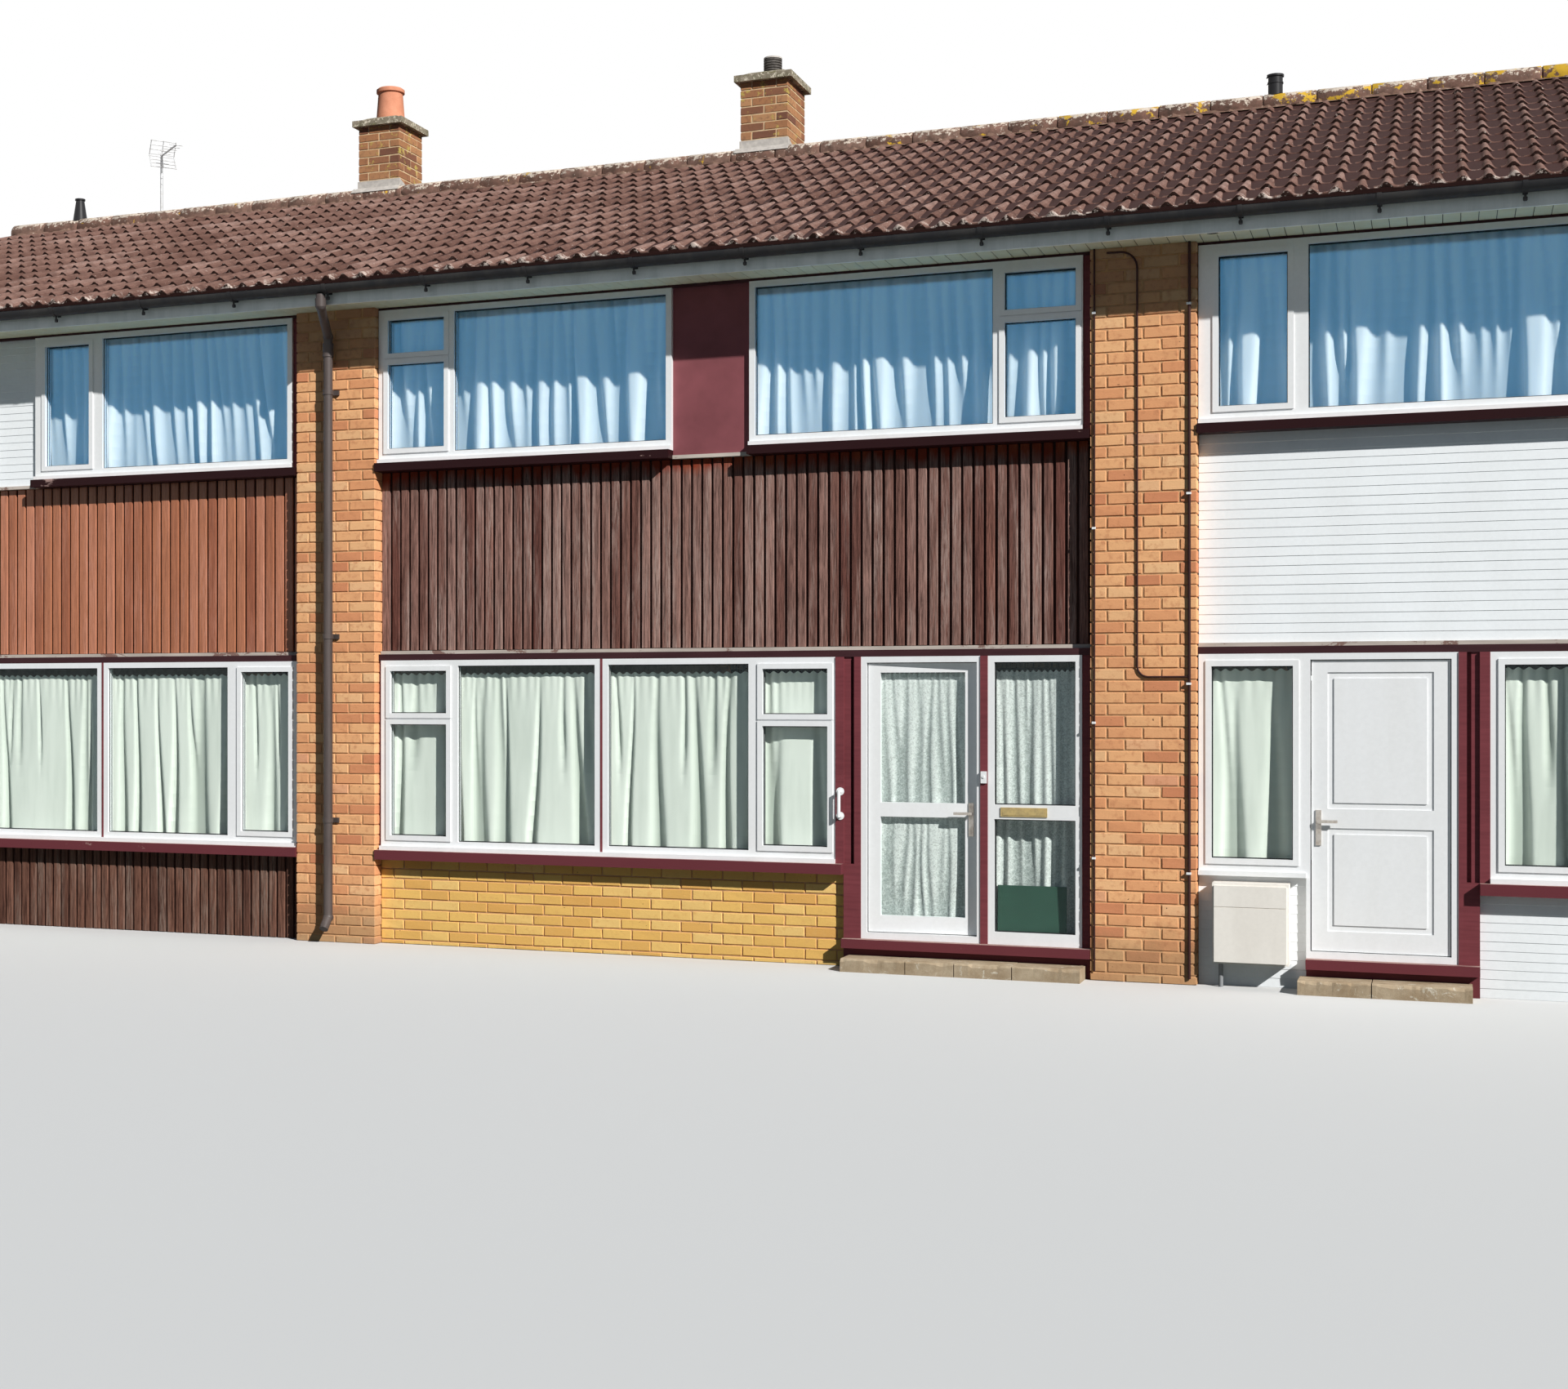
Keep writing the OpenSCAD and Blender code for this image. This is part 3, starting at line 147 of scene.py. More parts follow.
def sheetFaces(rows, across, closed=False, down=False):
    # quads between neighbouring rows of points; down turns them over
    faces = []
    for r in range(rows - 1):
        for i in range(across if closed else across - 1):
            a, b = r * across + i, r * across + (i + 1) % across
            faces.append([a, a + across, b + across, b] if down else [a, b, b + across, a + across])
    return faces


def facing(low, high):
    # the front (-1) or the rear (+1), and the y of a box's outer face and of its back
    return (-1, low[1], high[1]) if low[1] < 0 else (1, high[1], low[1])


def islandsOf(nodeName):
    # the box of each separate solid in a node, in order along the row
    mesh = nodes[nodeName].data
    keys, first = {}, []
    for vertex in mesh.vertices:
        key = tuple(round(c, 4) for c in vertex.co)
        first.append(keys.setdefault(key, len(keys)))
    parent = list(range(len(keys)))

    def root(i):
        while parent[i] != i:
            parent[i] = parent[parent[i]]
            i = parent[i]
        return i

    for edge in mesh.edges:
        a, b = root(first[edge.vertices[0]]), root(first[edge.vertices[1]])
        parent[a] = b
    boxes = {}
    for vertex in mesh.vertices:
        box = boxes.setdefault(root(first[vertex.index]), [[1e9] * 3, [-1e9] * 3])
        for a in range(3):
            box[0][a] = min(box[0][a], vertex.co[a])
            box[1][a] = max(box[1][a], vertex.co[a])
    return sorted(boxes.values(), key=lambda b: (round(b[0][1], 2), round(b[0][0], 2), b[0][2]))


# Materials
class Finish:
    # one procedural material, or the world, with short calls for its nodes
    def __init__(self, name, owner=None):
        self.owner = owner or bpy.data.materials.new(name)
        self.owner.use_nodes = True
        self.tree = self.owner.node_tree
        self.tree.nodes.clear()
        self.place = self.node("TexCoord").outputs["Object"]

    def node(self, kind, sockets=(), **settings):
        # sockets are filled by number or by name, with a value or from another node
        made = self.tree.nodes.new("ShaderNode" + kind)
        for key, value in settings.items():
            setattr(made, key, value)
        for key, value in dict(sockets).items():
            socket = made.inputs[key]
            if isinstance(value, bpy.types.NodeSocket):
                self.tree.links.new(value, socket)
            else:
                socket.default_value = (*value, 1) if socket.type == "RGBA" else value
        return made

    def out(self, kind, sockets=(), **settings):
        return self.node(kind, sockets, **settings).outputs[0]

    def noise(self, scale, detail, rough, stretch=None, warp=0.0):
        place = self.place
        if stretch:
            place = self.out("Mapping", {"Vector": place, "Scale": stretch})
        return self.out("TexNoise", {"Vector": place, "Scale": scale, "Detail": detail, "Roughness": rough,
                                     "Distortion": warp})

    def tone(self):
        return self.node("Attribute", attribute_name="tone").outputs["Fac"]

    def axis(self, name, vector=None):
        return self.node("SeparateXYZ", {0: vector or self.place}).outputs[name]

    def upward(self):
        return self.axis("Z", self.node("NewGeometry").outputs["Normal"])

    def ramp(self, factor, *stops):
        made = self.node("ValToRGB", {"Fac": factor})
        band = made.color_ramp
        while len(band.elements) < len(stops):
            band.elements.new(0.5)
        for element, (position, color) in zip(band.elements, stops):
            element.position = position
            element.color = (*color, 1) if hasattr(color, "__len__") else (color, color, color, 1)
        return made.outputs["Color"]

    def mask(self, factor, low, high):
        return self.node("MapRange", {"Value": factor, "From Min": low, "From Max": high}).outputs["Result"]

    def sums(self, kind, a, b, clamp=False):
        return self.out("Math", {0: a, 1: b}, operation=kind, use_clamp=clamp)

    def times(self, a, b):
        return self.sums("MULTIPLY", a, b)

    def plus(self, a, b, share=1, clamp=False):
        # a share below nothing takes b away
        return self.sums("ADD", a, b if share == 1 else self.times(b, share), clamp)

    def blend(self, factor, a, b, kind="MIX"):
        return self.node("Mix", {"Factor": factor, 6: a, 7: b}, data_type="RGBA", blend_type=kind).outputs[2]

    def spread(self, color, factor, low, high, other, amount=None):
        # another colour where the factor climbs from low to high
        mask = self.mask(factor, low, high)
        return self.blend(self.times(mask, amount) if amount else mask, color, other)

    def speckle(self, color, amount, grain, *stops):
        return self.blend(amount, color, self.ramp(grain, *stops), "MULTIPLY")

    def bump(self, height, strength, distance):
        sockets = {"Strength": strength, "Distance": distance, "Height": height}
        return self.node("Bump", sockets).outputs["Normal"]

    def mixed(self, factor, a, b):
        return self.out("MixShader", {0: factor, 1: a, 2: b})

    def surface(self, color, rough, normal, gloss=0.1, **fixed):
        # fixed sockets are named with an underscore for each space
        fixed = {key.replace("_", " "): value for key, value in fixed.items()}
        return self.end(self.out("BsdfPrincipled", {"Base Color": color, "Roughness": rough, "Normal": normal,
                                                    "Specular IOR Level": gloss, **fixed}))

    def end(self, shader, kind="OutputMaterial"):
        self.node(kind, {"Surface": shader})
        finishes[self.owner.name] = self.owner
        return self.owner


def shade(color, share):
    return [min(1, c * share) for c in color]


def brickFinish(name, tones, blotch, soot, lichen=None, eaves=None):
    f = Finish(name)
    sand = f.noise(420, 2, 0.7)
    cloud = f.noise(26, 4, 0.6)
    color = f.spread(f.ramp(f.tone(), *tones), cloud, 0.52, 0.8, blotch)
    color = f.speckle(color, 0.24, sand, (0.25, 0.25), (0.75, 1.0))
    color = f.spread(color, f.noise(1.1, 5, 0.6), 0.45, 0.85, f.blend(soot, color, (0.1, 0.075, 0.06)))
    hole = f.mask(f.noise(48, 3, 0.5), 0.735, 0.76)
    color = f.blend(f.times(hole, 0.8), color, (0.05, 0.025, 0.018))
    if eaves:  # soot and painted shade darken the bricks under the eaves, and splashes stain them above the ground
        high = f.plus(f.axis("Z"), f.noise(5, 5, 0.65), 0.5)
        # painted shade: the bricks darken towards the eaves, partly soot and partly the eaves' shade painted
        # in
        color = f.spread(color, high, eaves - 0.15, eaves + 0.25, (0.2, 0.14, 0.13), 0.45)
        splash = f.plus(f.axis("Z"), f.noise(6, 6, 0.7), -0.55)
        color = f.spread(color, splash, 0.14, -0.12, (0.3, 0.185, 0.095), 0.55)
    if lichen:
        growth = f.plus(f.noise(9, 8, 0.74), f.mask(f.axis("Z"), 6.9, 7.5), 0.035)
        color = f.spread(color, growth, 0.575, 0.615, lichen, 0.85)
    height = f.plus(f.times(sand, 0.5), f.noise(90, 4, 0.65), 0.9)
    f.surface(color, f.ramp(cloud, (0.2, 0.82), (0.8, 0.95)), f.bump(f.plus(height, hole, -1), 0.7, 0.0025))


def mortarFinish(name, color, dirt):
    f = Finish(name)
    cloud = f.noise(14, 5, 0.6)
    grain = f.noise(300, 3, 0.7)
    tint = f.speckle(f.spread(color, cloud, 0.35, 0.75, dirt), 0.3, grain, (0.3, 0.35), (0.7, 1.0))
    f.surface(tint, 0.93, f.bump(f.plus(grain, cloud), 0.6, 0.003))


def boardFinish(name, wood, pale, streak, rough, stain=None, gloss=0.0, strong=1.0):
    # vertical grain, worn pale streaks and, where given, a raw stain from one height to the next
    f = Finish(name)
    grain = f.noise(1, 6, 0.68, (60, 60, 2.6), 0.7)
    hair = f.noise(1, 4, 0.75, (230, 230, 9))
    base = f.ramp(f.tone(), *wood)
    color = f.blend(f.mask(grain, 0.36, 0.56), f.blend(0.72 * strong, base, (0.018, 0.006, 0.005)), base)
    color = f.speckle(color, 0.66 * strong, hair, (0.34, 0.26), (0.64, 1.6))
    patch = f.mask(f.noise(1, 4, 0.6, (12, 12, 0.9)), 0.46, 0.64)
    flake = f.mask(f.noise(1, 5, 0.72, (150, 150, 7)), 0.42, 0.6)
    color = f.blend(f.times(f.times(patch, flake), streak), color, pale)
    if stain:
        raw, low, high = stain
        top = f.plus(f.axis("Z"), f.noise(1, 3, 0.6, (9, 9, 2)), 0.26)
        bright = f.mask(f.noise(1, 3, 0.6, (2.2, 2.2, 1)), 0.55, 0.67)
        worn = f.spread(raw, hair, 0.4, 0.6, (0.36, 0.105, 0.045))
        color = f.spread(color, top, low, high, f.blend(bright, raw, worn))
    varnish = {"Coat_Weight": gloss, "Coat_Roughness": 0.2} if gloss else {}
    f.surface(color, f.ramp(grain, (0.3, rough), (0.7, min(1, rough + 0.15))),
              f.bump(f.plus(grain, hair, 0.7), 0.7, 0.003), **varnish)


def paintFinish(name, color, worn, wornAt, rough, brush=(4, 60, 60), chips=0.9):
    # brushed paint over timber, chipped back to grey wood in places
    f = Finish(name)
    strokes = f.noise(1, 3, 0.6, brush)
    chip = f.mask(f.noise(7, 8, 0.72, (0.5, 1, 1), 0.4), wornAt, wornAt + 0.03)
    tint = f.spread(color, f.noise(2.3, 4, 0.6), 0.3, 0.75, shade(color, 0.72))
    tint = f.spread(tint, strokes, 0.35, 0.7, f.blend(0.25, tint, shade(color, 1.8)))
    tint = f.blend(f.times(chip, chips), tint, worn)
    height = f.plus(f.times(strokes, 0.4), chip, -1)
    f.surface(tint, f.blend(chip, (rough,) * 3, (0.85,) * 3), f.bump(height, 0.4, 0.0012))


def sillFinish(name, color, worn):
    # dark paint on the face, worn back to pale wood on top and along the upper edge; above the ground storey
    # the face is painted far darker as painted shade under the white sills
    f = Finish(name)
    patch = f.noise(5, 7, 0.7, (0.35, 1, 1))
    top = f.times(f.mask(f.upward(), 0.15, 0.7), f.mask(patch, 0.34, 0.46))
    chip = f.plus(top, f.mask(patch, 0.64, 0.67), clamp=True)
    storey = f.mask(f.axis("Z"), 2.4, 2.5)
    fade = f.times(f.mask(f.noise(2.1, 4, 0.6), 0.4, 0.75), f.plus(1.0, storey, -1))
    # painted shade: sills above the ground storey take a colour about seven times darker
    tint = f.blend(f.times(fade, 0.3), f.blend(storey, color, shade(color, 0.14)), shade(color, 1.25))
    tint = f.blend(chip, tint, f.blend(f.noise(30, 4, 0.6), worn, shade(worn, 0.55)))
    f.surface(tint, f.blend(chip, (0.45,) * 3, (0.85,) * 3), f.bump(patch, 0.3, 0.0015))


def plasticFinish(name, color, grime, rough, amount, streaks=(3, 3, 0.5), gloss=0.5):
    f = Finish(name)
    cloud = f.noise(1, 5, 0.62, streaks)
    fine = f.noise(38, 4, 0.6)
    tint = f.speckle(f.spread(color, cloud, 0.42, 0.78, grime, amount), 0.06, fine, (0.35, 0.4), (0.65, 1.0))
    f.surface(tint, f.ramp(cloud, (0.3, rough), (0.8, rough + 0.2)), f.bump(fine, 0.05, 0.001), gloss)


def glassFinish(name, tint, reflectionTint, strength):
    # clear pane: mostly see-through, with a tinted gloss that is a painted reflection of its surroundings
    f = Finish(name)
    clear = f.out("BsdfTransparent", {"Color": tint})
    facing = f.node("LayerWeight").outputs["Facing"]  # alike on both faces of the pane
    # painted reflection: a fixed share of the tinted gloss on top of the facing falloff
    shine = f.plus(f.times(f.sums("POWER", facing, 4.0), 0.8), strength, clamp=True)
    gloss = f.out("BsdfGlossy", {"Color": f.blend(shine, (0.0, 0.0, 0.0), reflectionTint), "Roughness": 0.02,
                                 "Normal": f.bump(f.noise(1.3, 2, 0.5), 0.12, 0.02)})
    f.end(f.out("AddShader", {0: clear, 1: gloss}))


def netFinish(name, front, back, cover, lace=0.0):
    # thin cloth that lets some light through, greyer in the depth of its folds, where the fold tone paints
    # shade
    f = Finish(name)
    # painted shade: the fold valleys, low in tone, take the back colour
    depth = f.ramp(f.tone(), (0.05, back), (0.55, [(a + b) / 2 for a, b in zip(front, back)]), (0.95, front))
    tint = f.spread(depth, f.noise(4, 3, 0.5, (3, 3, 0.4)), 0.45, 0.8, back, 0.35)
    opaque = f.plus(cover, f.times(f.tone(), 1 - cover), clamp=True)
    if lace:
        leaf = f.noise(44, 3, 0.6, None, 2.2)
        cells = f.node("TexVoronoi", {"Vector": f.place, "Scale": 120}).outputs["Distance"]
        pattern = f.times(f.mask(leaf, 0.48, 0.6), f.mask(cells, 0.1, 0.5))
        opaque = f.plus(opaque, pattern, -lace, True)
        tint = f.spread(tint, leaf, 0.5, 0.36, front, 0.4)
    weave = f.bump(f.noise(160, 3, 0.6), 0.25, 0.001)
    cloth = f.out("BsdfDiffuse", {"Color": tint, "Normal": weave})
    through = f.out("BsdfTranslucent", {"Color": tint})
    f.end(f.mixed(opaque, f.out("BsdfTransparent"), f.mixed(0.18, cloth, through)))


def metalFinish(name, color, dull, rough, metallic=0.9):
    f = Finish(name)
    cloud = f.noise(22, 5, 0.62)
    tint = f.spread(color, cloud, 0.4, 0.75, dull)
    f.surface(tint, f.ramp(cloud, (0.3, rough), (0.8, min(1, rough + 0.35))),
              f.bump(f.noise(240, 3, 0.6), 0.15, 0.0006), Metallic=metallic)


def stoneFinish(name, light, dark, moss, scale, strength, lichen=None):
    f = Finish(name)
    cloud = f.noise(scale, 7, 0.66)
    grit = f.noise(scale * 30, 3, 0.7)
    tint = f.speckle(f.spread(light, cloud, 0.35, 0.68, dark), 0.25, grit, (0.3, 0.3), (0.7, 1.0))
    if moss:
        tint = f.spread(tint, f.noise(scale * 1.7, 6, 0.7, None, 0.8), 0.6, 0.66, moss)
    if lichen:
        tint = f.spread(tint, f.noise(scale * 3.1, 7, 0.76), 0.545, 0.585, lichen)
    f.surface(tint, 0.9, f.bump(f.plus(cloud, grit, 0.4), strength, 0.004))


def tileFinish(name, tones, crust, lichen, eaves):
    f = Finish(name)
    base = f.ramp(f.tone(), *tones)
    cloud = f.noise(7, 5, 0.62)
    grit = f.noise(150, 4, 0.7)
    color = f.spread(base, cloud, 0.42, 0.72, f.blend(0.6, base, (0.05, 0.022, 0.018)))
    color = f.speckle(color, 0.55, grit, (0.32, 0.3), (0.66, 1.1))
    along = f.times(f.mask(f.axis("X"), -7, 6), 0.03)  # the spots thicken towards the right
    spots = f.sums("MAXIMUM", f.mask(f.plus(f.noise(34, 7, 0.76), along), 0.64, 0.665),
                   f.mask(f.plus(f.noise(12, 8, 0.78), along), 0.67, 0.695))
    color = f.blend(f.times(spots, 0.8), color, crust)
    color = f.spread(color, f.noise(11, 7, 0.72, (1.3, 1, 1)), 0.7, 0.73, lichen, 0.7)
    low = f.mask(f.axis("Z"), eaves + 0.1, eaves + 0.03)
    color = f.blend(f.times(low, f.mask(f.noise(13, 8, 0.74), 0.53, 0.58)), color, crust)
    f.surface(color, 0.88, f.bump(f.plus(f.times(grit, 0.6), cloud), 0.7, 0.003))


def ridgeFinish(name, tones, crust, lichen):
    # roof brown low down, pale crust along the top, golden lichen towards the right
    f = Finish(name)
    base = f.spread(f.ramp(f.tone(), *tones), f.noise(9, 5, 0.65), 0.35, 0.7, (0.1, 0.065, 0.05))
    grit = f.noise(120, 4, 0.7)
    color = f.speckle(base, 0.45, grit, (0.32, 0.4), (0.66, 1.0))
    patch = f.noise(24, 7, 0.72)
    color = f.spread(color, f.plus(patch, f.upward(), 0.25), 0.64, 0.69, crust)
    right = f.plus(f.noise(7, 6, 0.7), f.mask(f.axis("X"), -2, 8), 0.13)
    color = f.spread(color, right, 0.64, 0.67, lichen)
    f.surface(color, 0.9, f.bump(f.plus(grit, patch), 0.8, 0.004))


# The values of each finish, in the order that its maker takes them
recipes = {
    brickFinish: {
        # pierBrick's last value is the height from which soot and painted shade darken the bricks towards the
        # eaves
        "pierBrick": (((0.0, (0.66, 0.26, 0.13)), (0.12, (0.78, 0.35, 0.165)), (0.45, (0.84, 0.42, 0.2)),
                       (0.75, (0.88, 0.47, 0.225)), (0.92, (0.9, 0.54, 0.28)), (1.0, (0.8, 0.37, 0.21))),
                      (0.6, 0.25, 0.12), 0.15, None, 4.6),
        "plinthBrick": (((0.0, (0.78, 0.42, 0.12)), (0.3, (0.86, 0.51, 0.145)), (0.7, (0.9, 0.56, 0.165)),
                         (1.0, (0.92, 0.61, 0.22))), (0.8, 0.46, 0.15), 0.1),
        "partyBrick": (((0.0, (0.3, 0.13, 0.08)), (0.5, (0.42, 0.2, 0.12)), (1.0, (0.5, 0.27, 0.16))),
                       (0.3, 0.15, 0.09), 0.35),
        "chimneyBrick": (((0.0, (0.2, 0.085, 0.055)), (0.3, (0.32, 0.14, 0.075)), (0.7, (0.43, 0.2, 0.095)),
                          (1.0, (0.55, 0.29, 0.14))), (0.2, 0.1, 0.065), 0.35, (0.5, 0.38, 0.1))},
    mortarFinish: {
        "paleMortar": ((0.72, 0.42, 0.21), (0.5, 0.27, 0.14)),
        "chimneyMortar": ((0.8, 0.6, 0.37), (0.52, 0.35, 0.2)),
        "greyMortar": ((0.44, 0.36, 0.28), (0.27, 0.22, 0.18))},
    boardFinish: {
        "brownBoards": (((0.0, (0.14, 0.056, 0.044)), (0.4, (0.2, 0.098, 0.078)), (0.8, (0.29, 0.165, 0.137)),
                         (1.0, (0.22, 0.095, 0.072))), (0.43, 0.31, 0.27), 0.75, 0.78,
                        ((0.2, 0.032, 0.016), 3.5, 3.58)),
        "lowBoards": (((0.0, (0.11, 0.05, 0.035)), (0.6, (0.17, 0.08, 0.055)), (1.0, (0.21, 0.1, 0.07))),
                      (0.36, 0.28, 0.23), 0.5, 0.7),
        "redBoards": (((0.0, (0.29, 0.095, 0.05)), (0.5, (0.42, 0.158, 0.082)), (1.0, (0.52, 0.21, 0.125))),
                      (0.62, 0.3, 0.22), 0.45, 0.42, None, 0.25, 0.4),
        "floorWood": (((0.0, (0.3, 0.19, 0.11)), (1.0, (0.42, 0.29, 0.18))), (0.5, 0.4, 0.3), 0.2, 0.6)},
    paintFinish: {
        "grooveDark": ((0.035, 0.014, 0.012), (0.06, 0.03, 0.025), 0.8, 0.8),
        "maroonPanel": ((0.225, 0.072, 0.082), (0.3, 0.14, 0.13), 0.76, 0.5, (3, 3, 3), 0.4),
        "maroonTimber": ((0.17, 0.042, 0.05), (0.36, 0.2, 0.17), 0.7, 0.42),
        # the near-black timber of the head beams is painted shade for the dark gap between the drip trims and
        # the window heads
        "darkTimber": ((0.045, 0.017, 0.02), (0.16, 0.09, 0.08), 0.7, 0.5),
        "paleTrim": ((0.5, 0.44, 0.39), (0.2, 0.11, 0.09), 0.57, 0.6),
        "greenBoard": ((0.03, 0.072, 0.052), (0.3, 0.36, 0.3), 0.7, 0.5)},
    sillFinish: {"sillTimber": ((0.125, 0.03, 0.037), (0.46, 0.3, 0.27))},
    plasticFinish: {
        "whitePlastic": ((0.8, 0.81, 0.82), (0.6, 0.59, 0.55), 0.28, 0.3, (3, 3, 0.5), 0.9),
        "shiplapPlastic": ((0.85, 0.88, 0.9), (0.7, 0.71, 0.71), 0.34, 0.4, (2, 2, 0.8)),
        "fasciaPlastic": ((0.95, 0.97, 0.93), (0.66, 0.7, 0.66), 0.4, 0.7, (9, 9, 0.6), 1.0),
        "creamPlastic": ((0.8, 0.78, 0.56), (0.54, 0.52, 0.36), 0.5, 0.6, (1.2, 4, 1)),
        "blackPlastic": ((0.016, 0.016, 0.018), (0.07, 0.065, 0.06), 0.42, 0.6, (6, 6, 2), 0.2),
        "pipePlastic": ((0.06, 0.046, 0.043), (0.15, 0.12, 0.11), 0.42, 0.6, (7, 7, 1), 0.3),
        "meterPlastic": ((0.82, 0.78, 0.72), (0.55, 0.5, 0.44), 0.5, 0.4),
        "greyPipe": ((0.24, 0.25, 0.26), (0.12, 0.11, 0.1), 0.5, 0.6),
        "cableSheath": ((0.03, 0.01, 0.01), (0.09, 0.04, 0.035), 0.55, 0.5, (3, 3, 0.5), 0.15),
        "rubber": ((0.015, 0.016, 0.018), (0.05, 0.05, 0.05), 0.6, 0.4, (3, 3, 0.5), 0.1)},
    glassFinish: {
        # each glass's second colour and its share are a painted reflection, sky blue on the upper panes
        "upperGlass": ((0.93, 0.96, 0.97), (0.14, 0.5, 0.9), 0.125),
        "lowerGlass": ((0.97, 0.99, 0.98), (0.55, 0.66, 0.68), 0.02)},
    netFinish: {
        # each cloth's second colour is the painted shade in the valleys of its folds
        "lowerCloth": ((0.93, 0.94, 0.88), (0.56, 0.6, 0.54), 1.0),
        "upperCloth": ((0.95, 0.91, 0.86), (0.56, 0.58, 0.58), 1.0),
        "laceNet": ((0.96, 0.96, 0.95), (0.46, 0.5, 0.49), 0.97, 0.28)},
    metalFinish: {
        "dullMetal": ((0.5, 0.47, 0.43), (0.3, 0.26, 0.22), 0.38),
        "brassPlate": ((0.5, 0.38, 0.17), (0.3, 0.24, 0.13), 0.42, 0.75),
        "flueMetal": ((0.13, 0.12, 0.11), (0.06, 0.05, 0.045), 0.6, 0.3),
        "leadSheet": ((0.44, 0.41, 0.38), (0.62, 0.58, 0.53), 0.6, 0.25),
        "aerialMetal": ((0.55, 0.56, 0.57), (0.35, 0.34, 0.33), 0.4, 0.8)},
    stoneFinish: {
        "capConcrete": ((0.38, 0.32, 0.25), (0.13, 0.12, 0.065), (0.17, 0.16, 0.055), 9, 0.8,
                        (0.66, 0.6, 0.47)),
        "clayPot": ((0.78, 0.34, 0.21), (0.6, 0.24, 0.14), None, 6, 0.3),
        "stepStone": ((0.5, 0.4, 0.28), (0.33, 0.24, 0.15), (0.58, 0.52, 0.42), 7, 1.0),
        "floorConcrete": ((0.4, 0.38, 0.35), (0.28, 0.26, 0.24), None, 3, 0.5),
        "roofMortar": ((0.27, 0.17, 0.125), (0.15, 0.085, 0.065), (0.55, 0.46, 0.38), 12, 1.0)},
    tileFinish: {
        # the first, near-black stop is the painted shade at the open ends of the rolls
        "roofTile": (((0.0, (0.018, 0.008, 0.006)), (0.2, (0.12, 0.06, 0.046)), (0.6, (0.23, 0.13, 0.104)),
                      (1.0, (0.34, 0.22, 0.185))), (0.6, 0.5, 0.44), (0.46, 0.3, 0.1), 4.811)},
    ridgeFinish: {
        "ridgeTile": (((0.0, (0.2, 0.105, 0.078)), (0.5, (0.27, 0.15, 0.115)), (1.0, (0.33, 0.2, 0.155))),
                      (0.62, 0.53, 0.44), (0.62, 0.38, 0.04))},
}
for maker, recipe in recipes.items():
    for name, values in recipe.items():
        maker(name, *values)
print("finishes ready,", len(finishes))


def dress(nodeName, look, bevel):
    node = nodes[nodeName]
    coat(node.data, look)
    if bevel:
        modifier = node.modifiers.new("softEdges", "BEVEL")
        modifier.width = bevel
        modifier.segments = 2
        modifier.limit_method = "ANGLE"
        modifier.angle_limit = math.radians(40)


# House layout, in metres
layout = {"pitch": 5.85, "pierWidth": 0.665, "pierDepth": 0.34, "halfDepth": 4.3, "soffit": 4.7,
          "halfRow": 9.1075}


def frontY(depth, side):
    # depth behind the pier face, on the front (-1) or the rear (+1)
    return side * (layout["halfDepth"] - depth)


# Brickwork; back is how far a brick may stand behind its wall's face
brick = {"length": 0.215, "width": 0.1025, "height": 0.065, "joint": 0.01, "course": 0.075, "pitch": 0.225,
         "half": 0.1125, "chamfer": 0.0032, "shake": 0.0013, "recess": 0.0085, "ground": 0.0015, "bed": 0.001,
         "skin": 0.0004, "least": 0.01,
         "back": {"pier": 0.0012, "plinth": 0.0012, "party": 0.001, "chimney": 0.0015}}


def layBrick(pile, low, high, chamfer=brick["chamfer"]):
    pile.block(low, high, pile.rng.random(), 0, chamfer, brick["shake"])


def brickSkin(pile, wall):
    return brick["shake"] + pile.rng.uniform(0, brick["back"][wall])


def courseSpans(at, low, high, least=0.0):
    # where the bricks of a course start and end, cut to the wall's ends
    while at < high:
        a, b = max(at, low), min(at + brick["length"], high)
        if b - a > least:
            yield a, b
        at += brick["pitch"]


def buildPiers():
    pile = Pile(11)
    w, d, h = layout["pierWidth"], layout["pierDepth"], layout["soffit"]
    width, long, joint, inset = brick["width"], brick["length"], brick["joint"], brick["recess"]
    skin = brick["shake"] + brick["skin"]
    inner = [(i * brick["pitch"] + width + joint, i * brick["pitch"] + long + width + joint) for i in (0, 1)]
    for k in (-1.5, -0.5, 0.5, 1.5):
        for side in (-1, 1):
            left = k * layout["pitch"] - w / 2
            pile.block((left + inset, frontY(inset, side), 0), (left + w - inset, frontY(d, side), h), 0.5, 1)
            for course in range(int(h / brick["course"]) + 1):
                top = h - course * brick["course"] - brick["bed"]
                low = max(top - brick["height"], brick["ground"])
                if top - low < brick["least"]:
                    continue
                if (course + (k > 0)) % 2:
                    cells = [(a, b, 0, width) for a, b in courseSpans(0, 0, w)]
                    cells += [(x, x + width, width + joint, d) for x in (0, w - width)]
                else:
                    cells = [(x, x + width, 0, long) for x in (0, w - width)]
                    cells += [(a, b, 0, width) for a, b in inner]
                    cells += [(x, x + width, long + joint, d) for x in (0, w - width)]
                for x0, x1, y0, y1 in cells:
                    back = pile.rng.uniform(0, brick["back"]["pier"])
                    layBrick(pile, (left + x0 + skin, frontY(y0 + skin + back, side), low),
                             (left + x1 - skin, frontY(y1, side), top))
    pile.finish("pierBrickwork", ("pierBrick", "paleMortar"), replaces=["piers"])


plinth = {"width": 3, "front": -4.2, "near": 0.005, "inset": 0.0015, "deep": 0.07, "start": 0.03,
          "least": 0.0185, "lowest": 0.012}


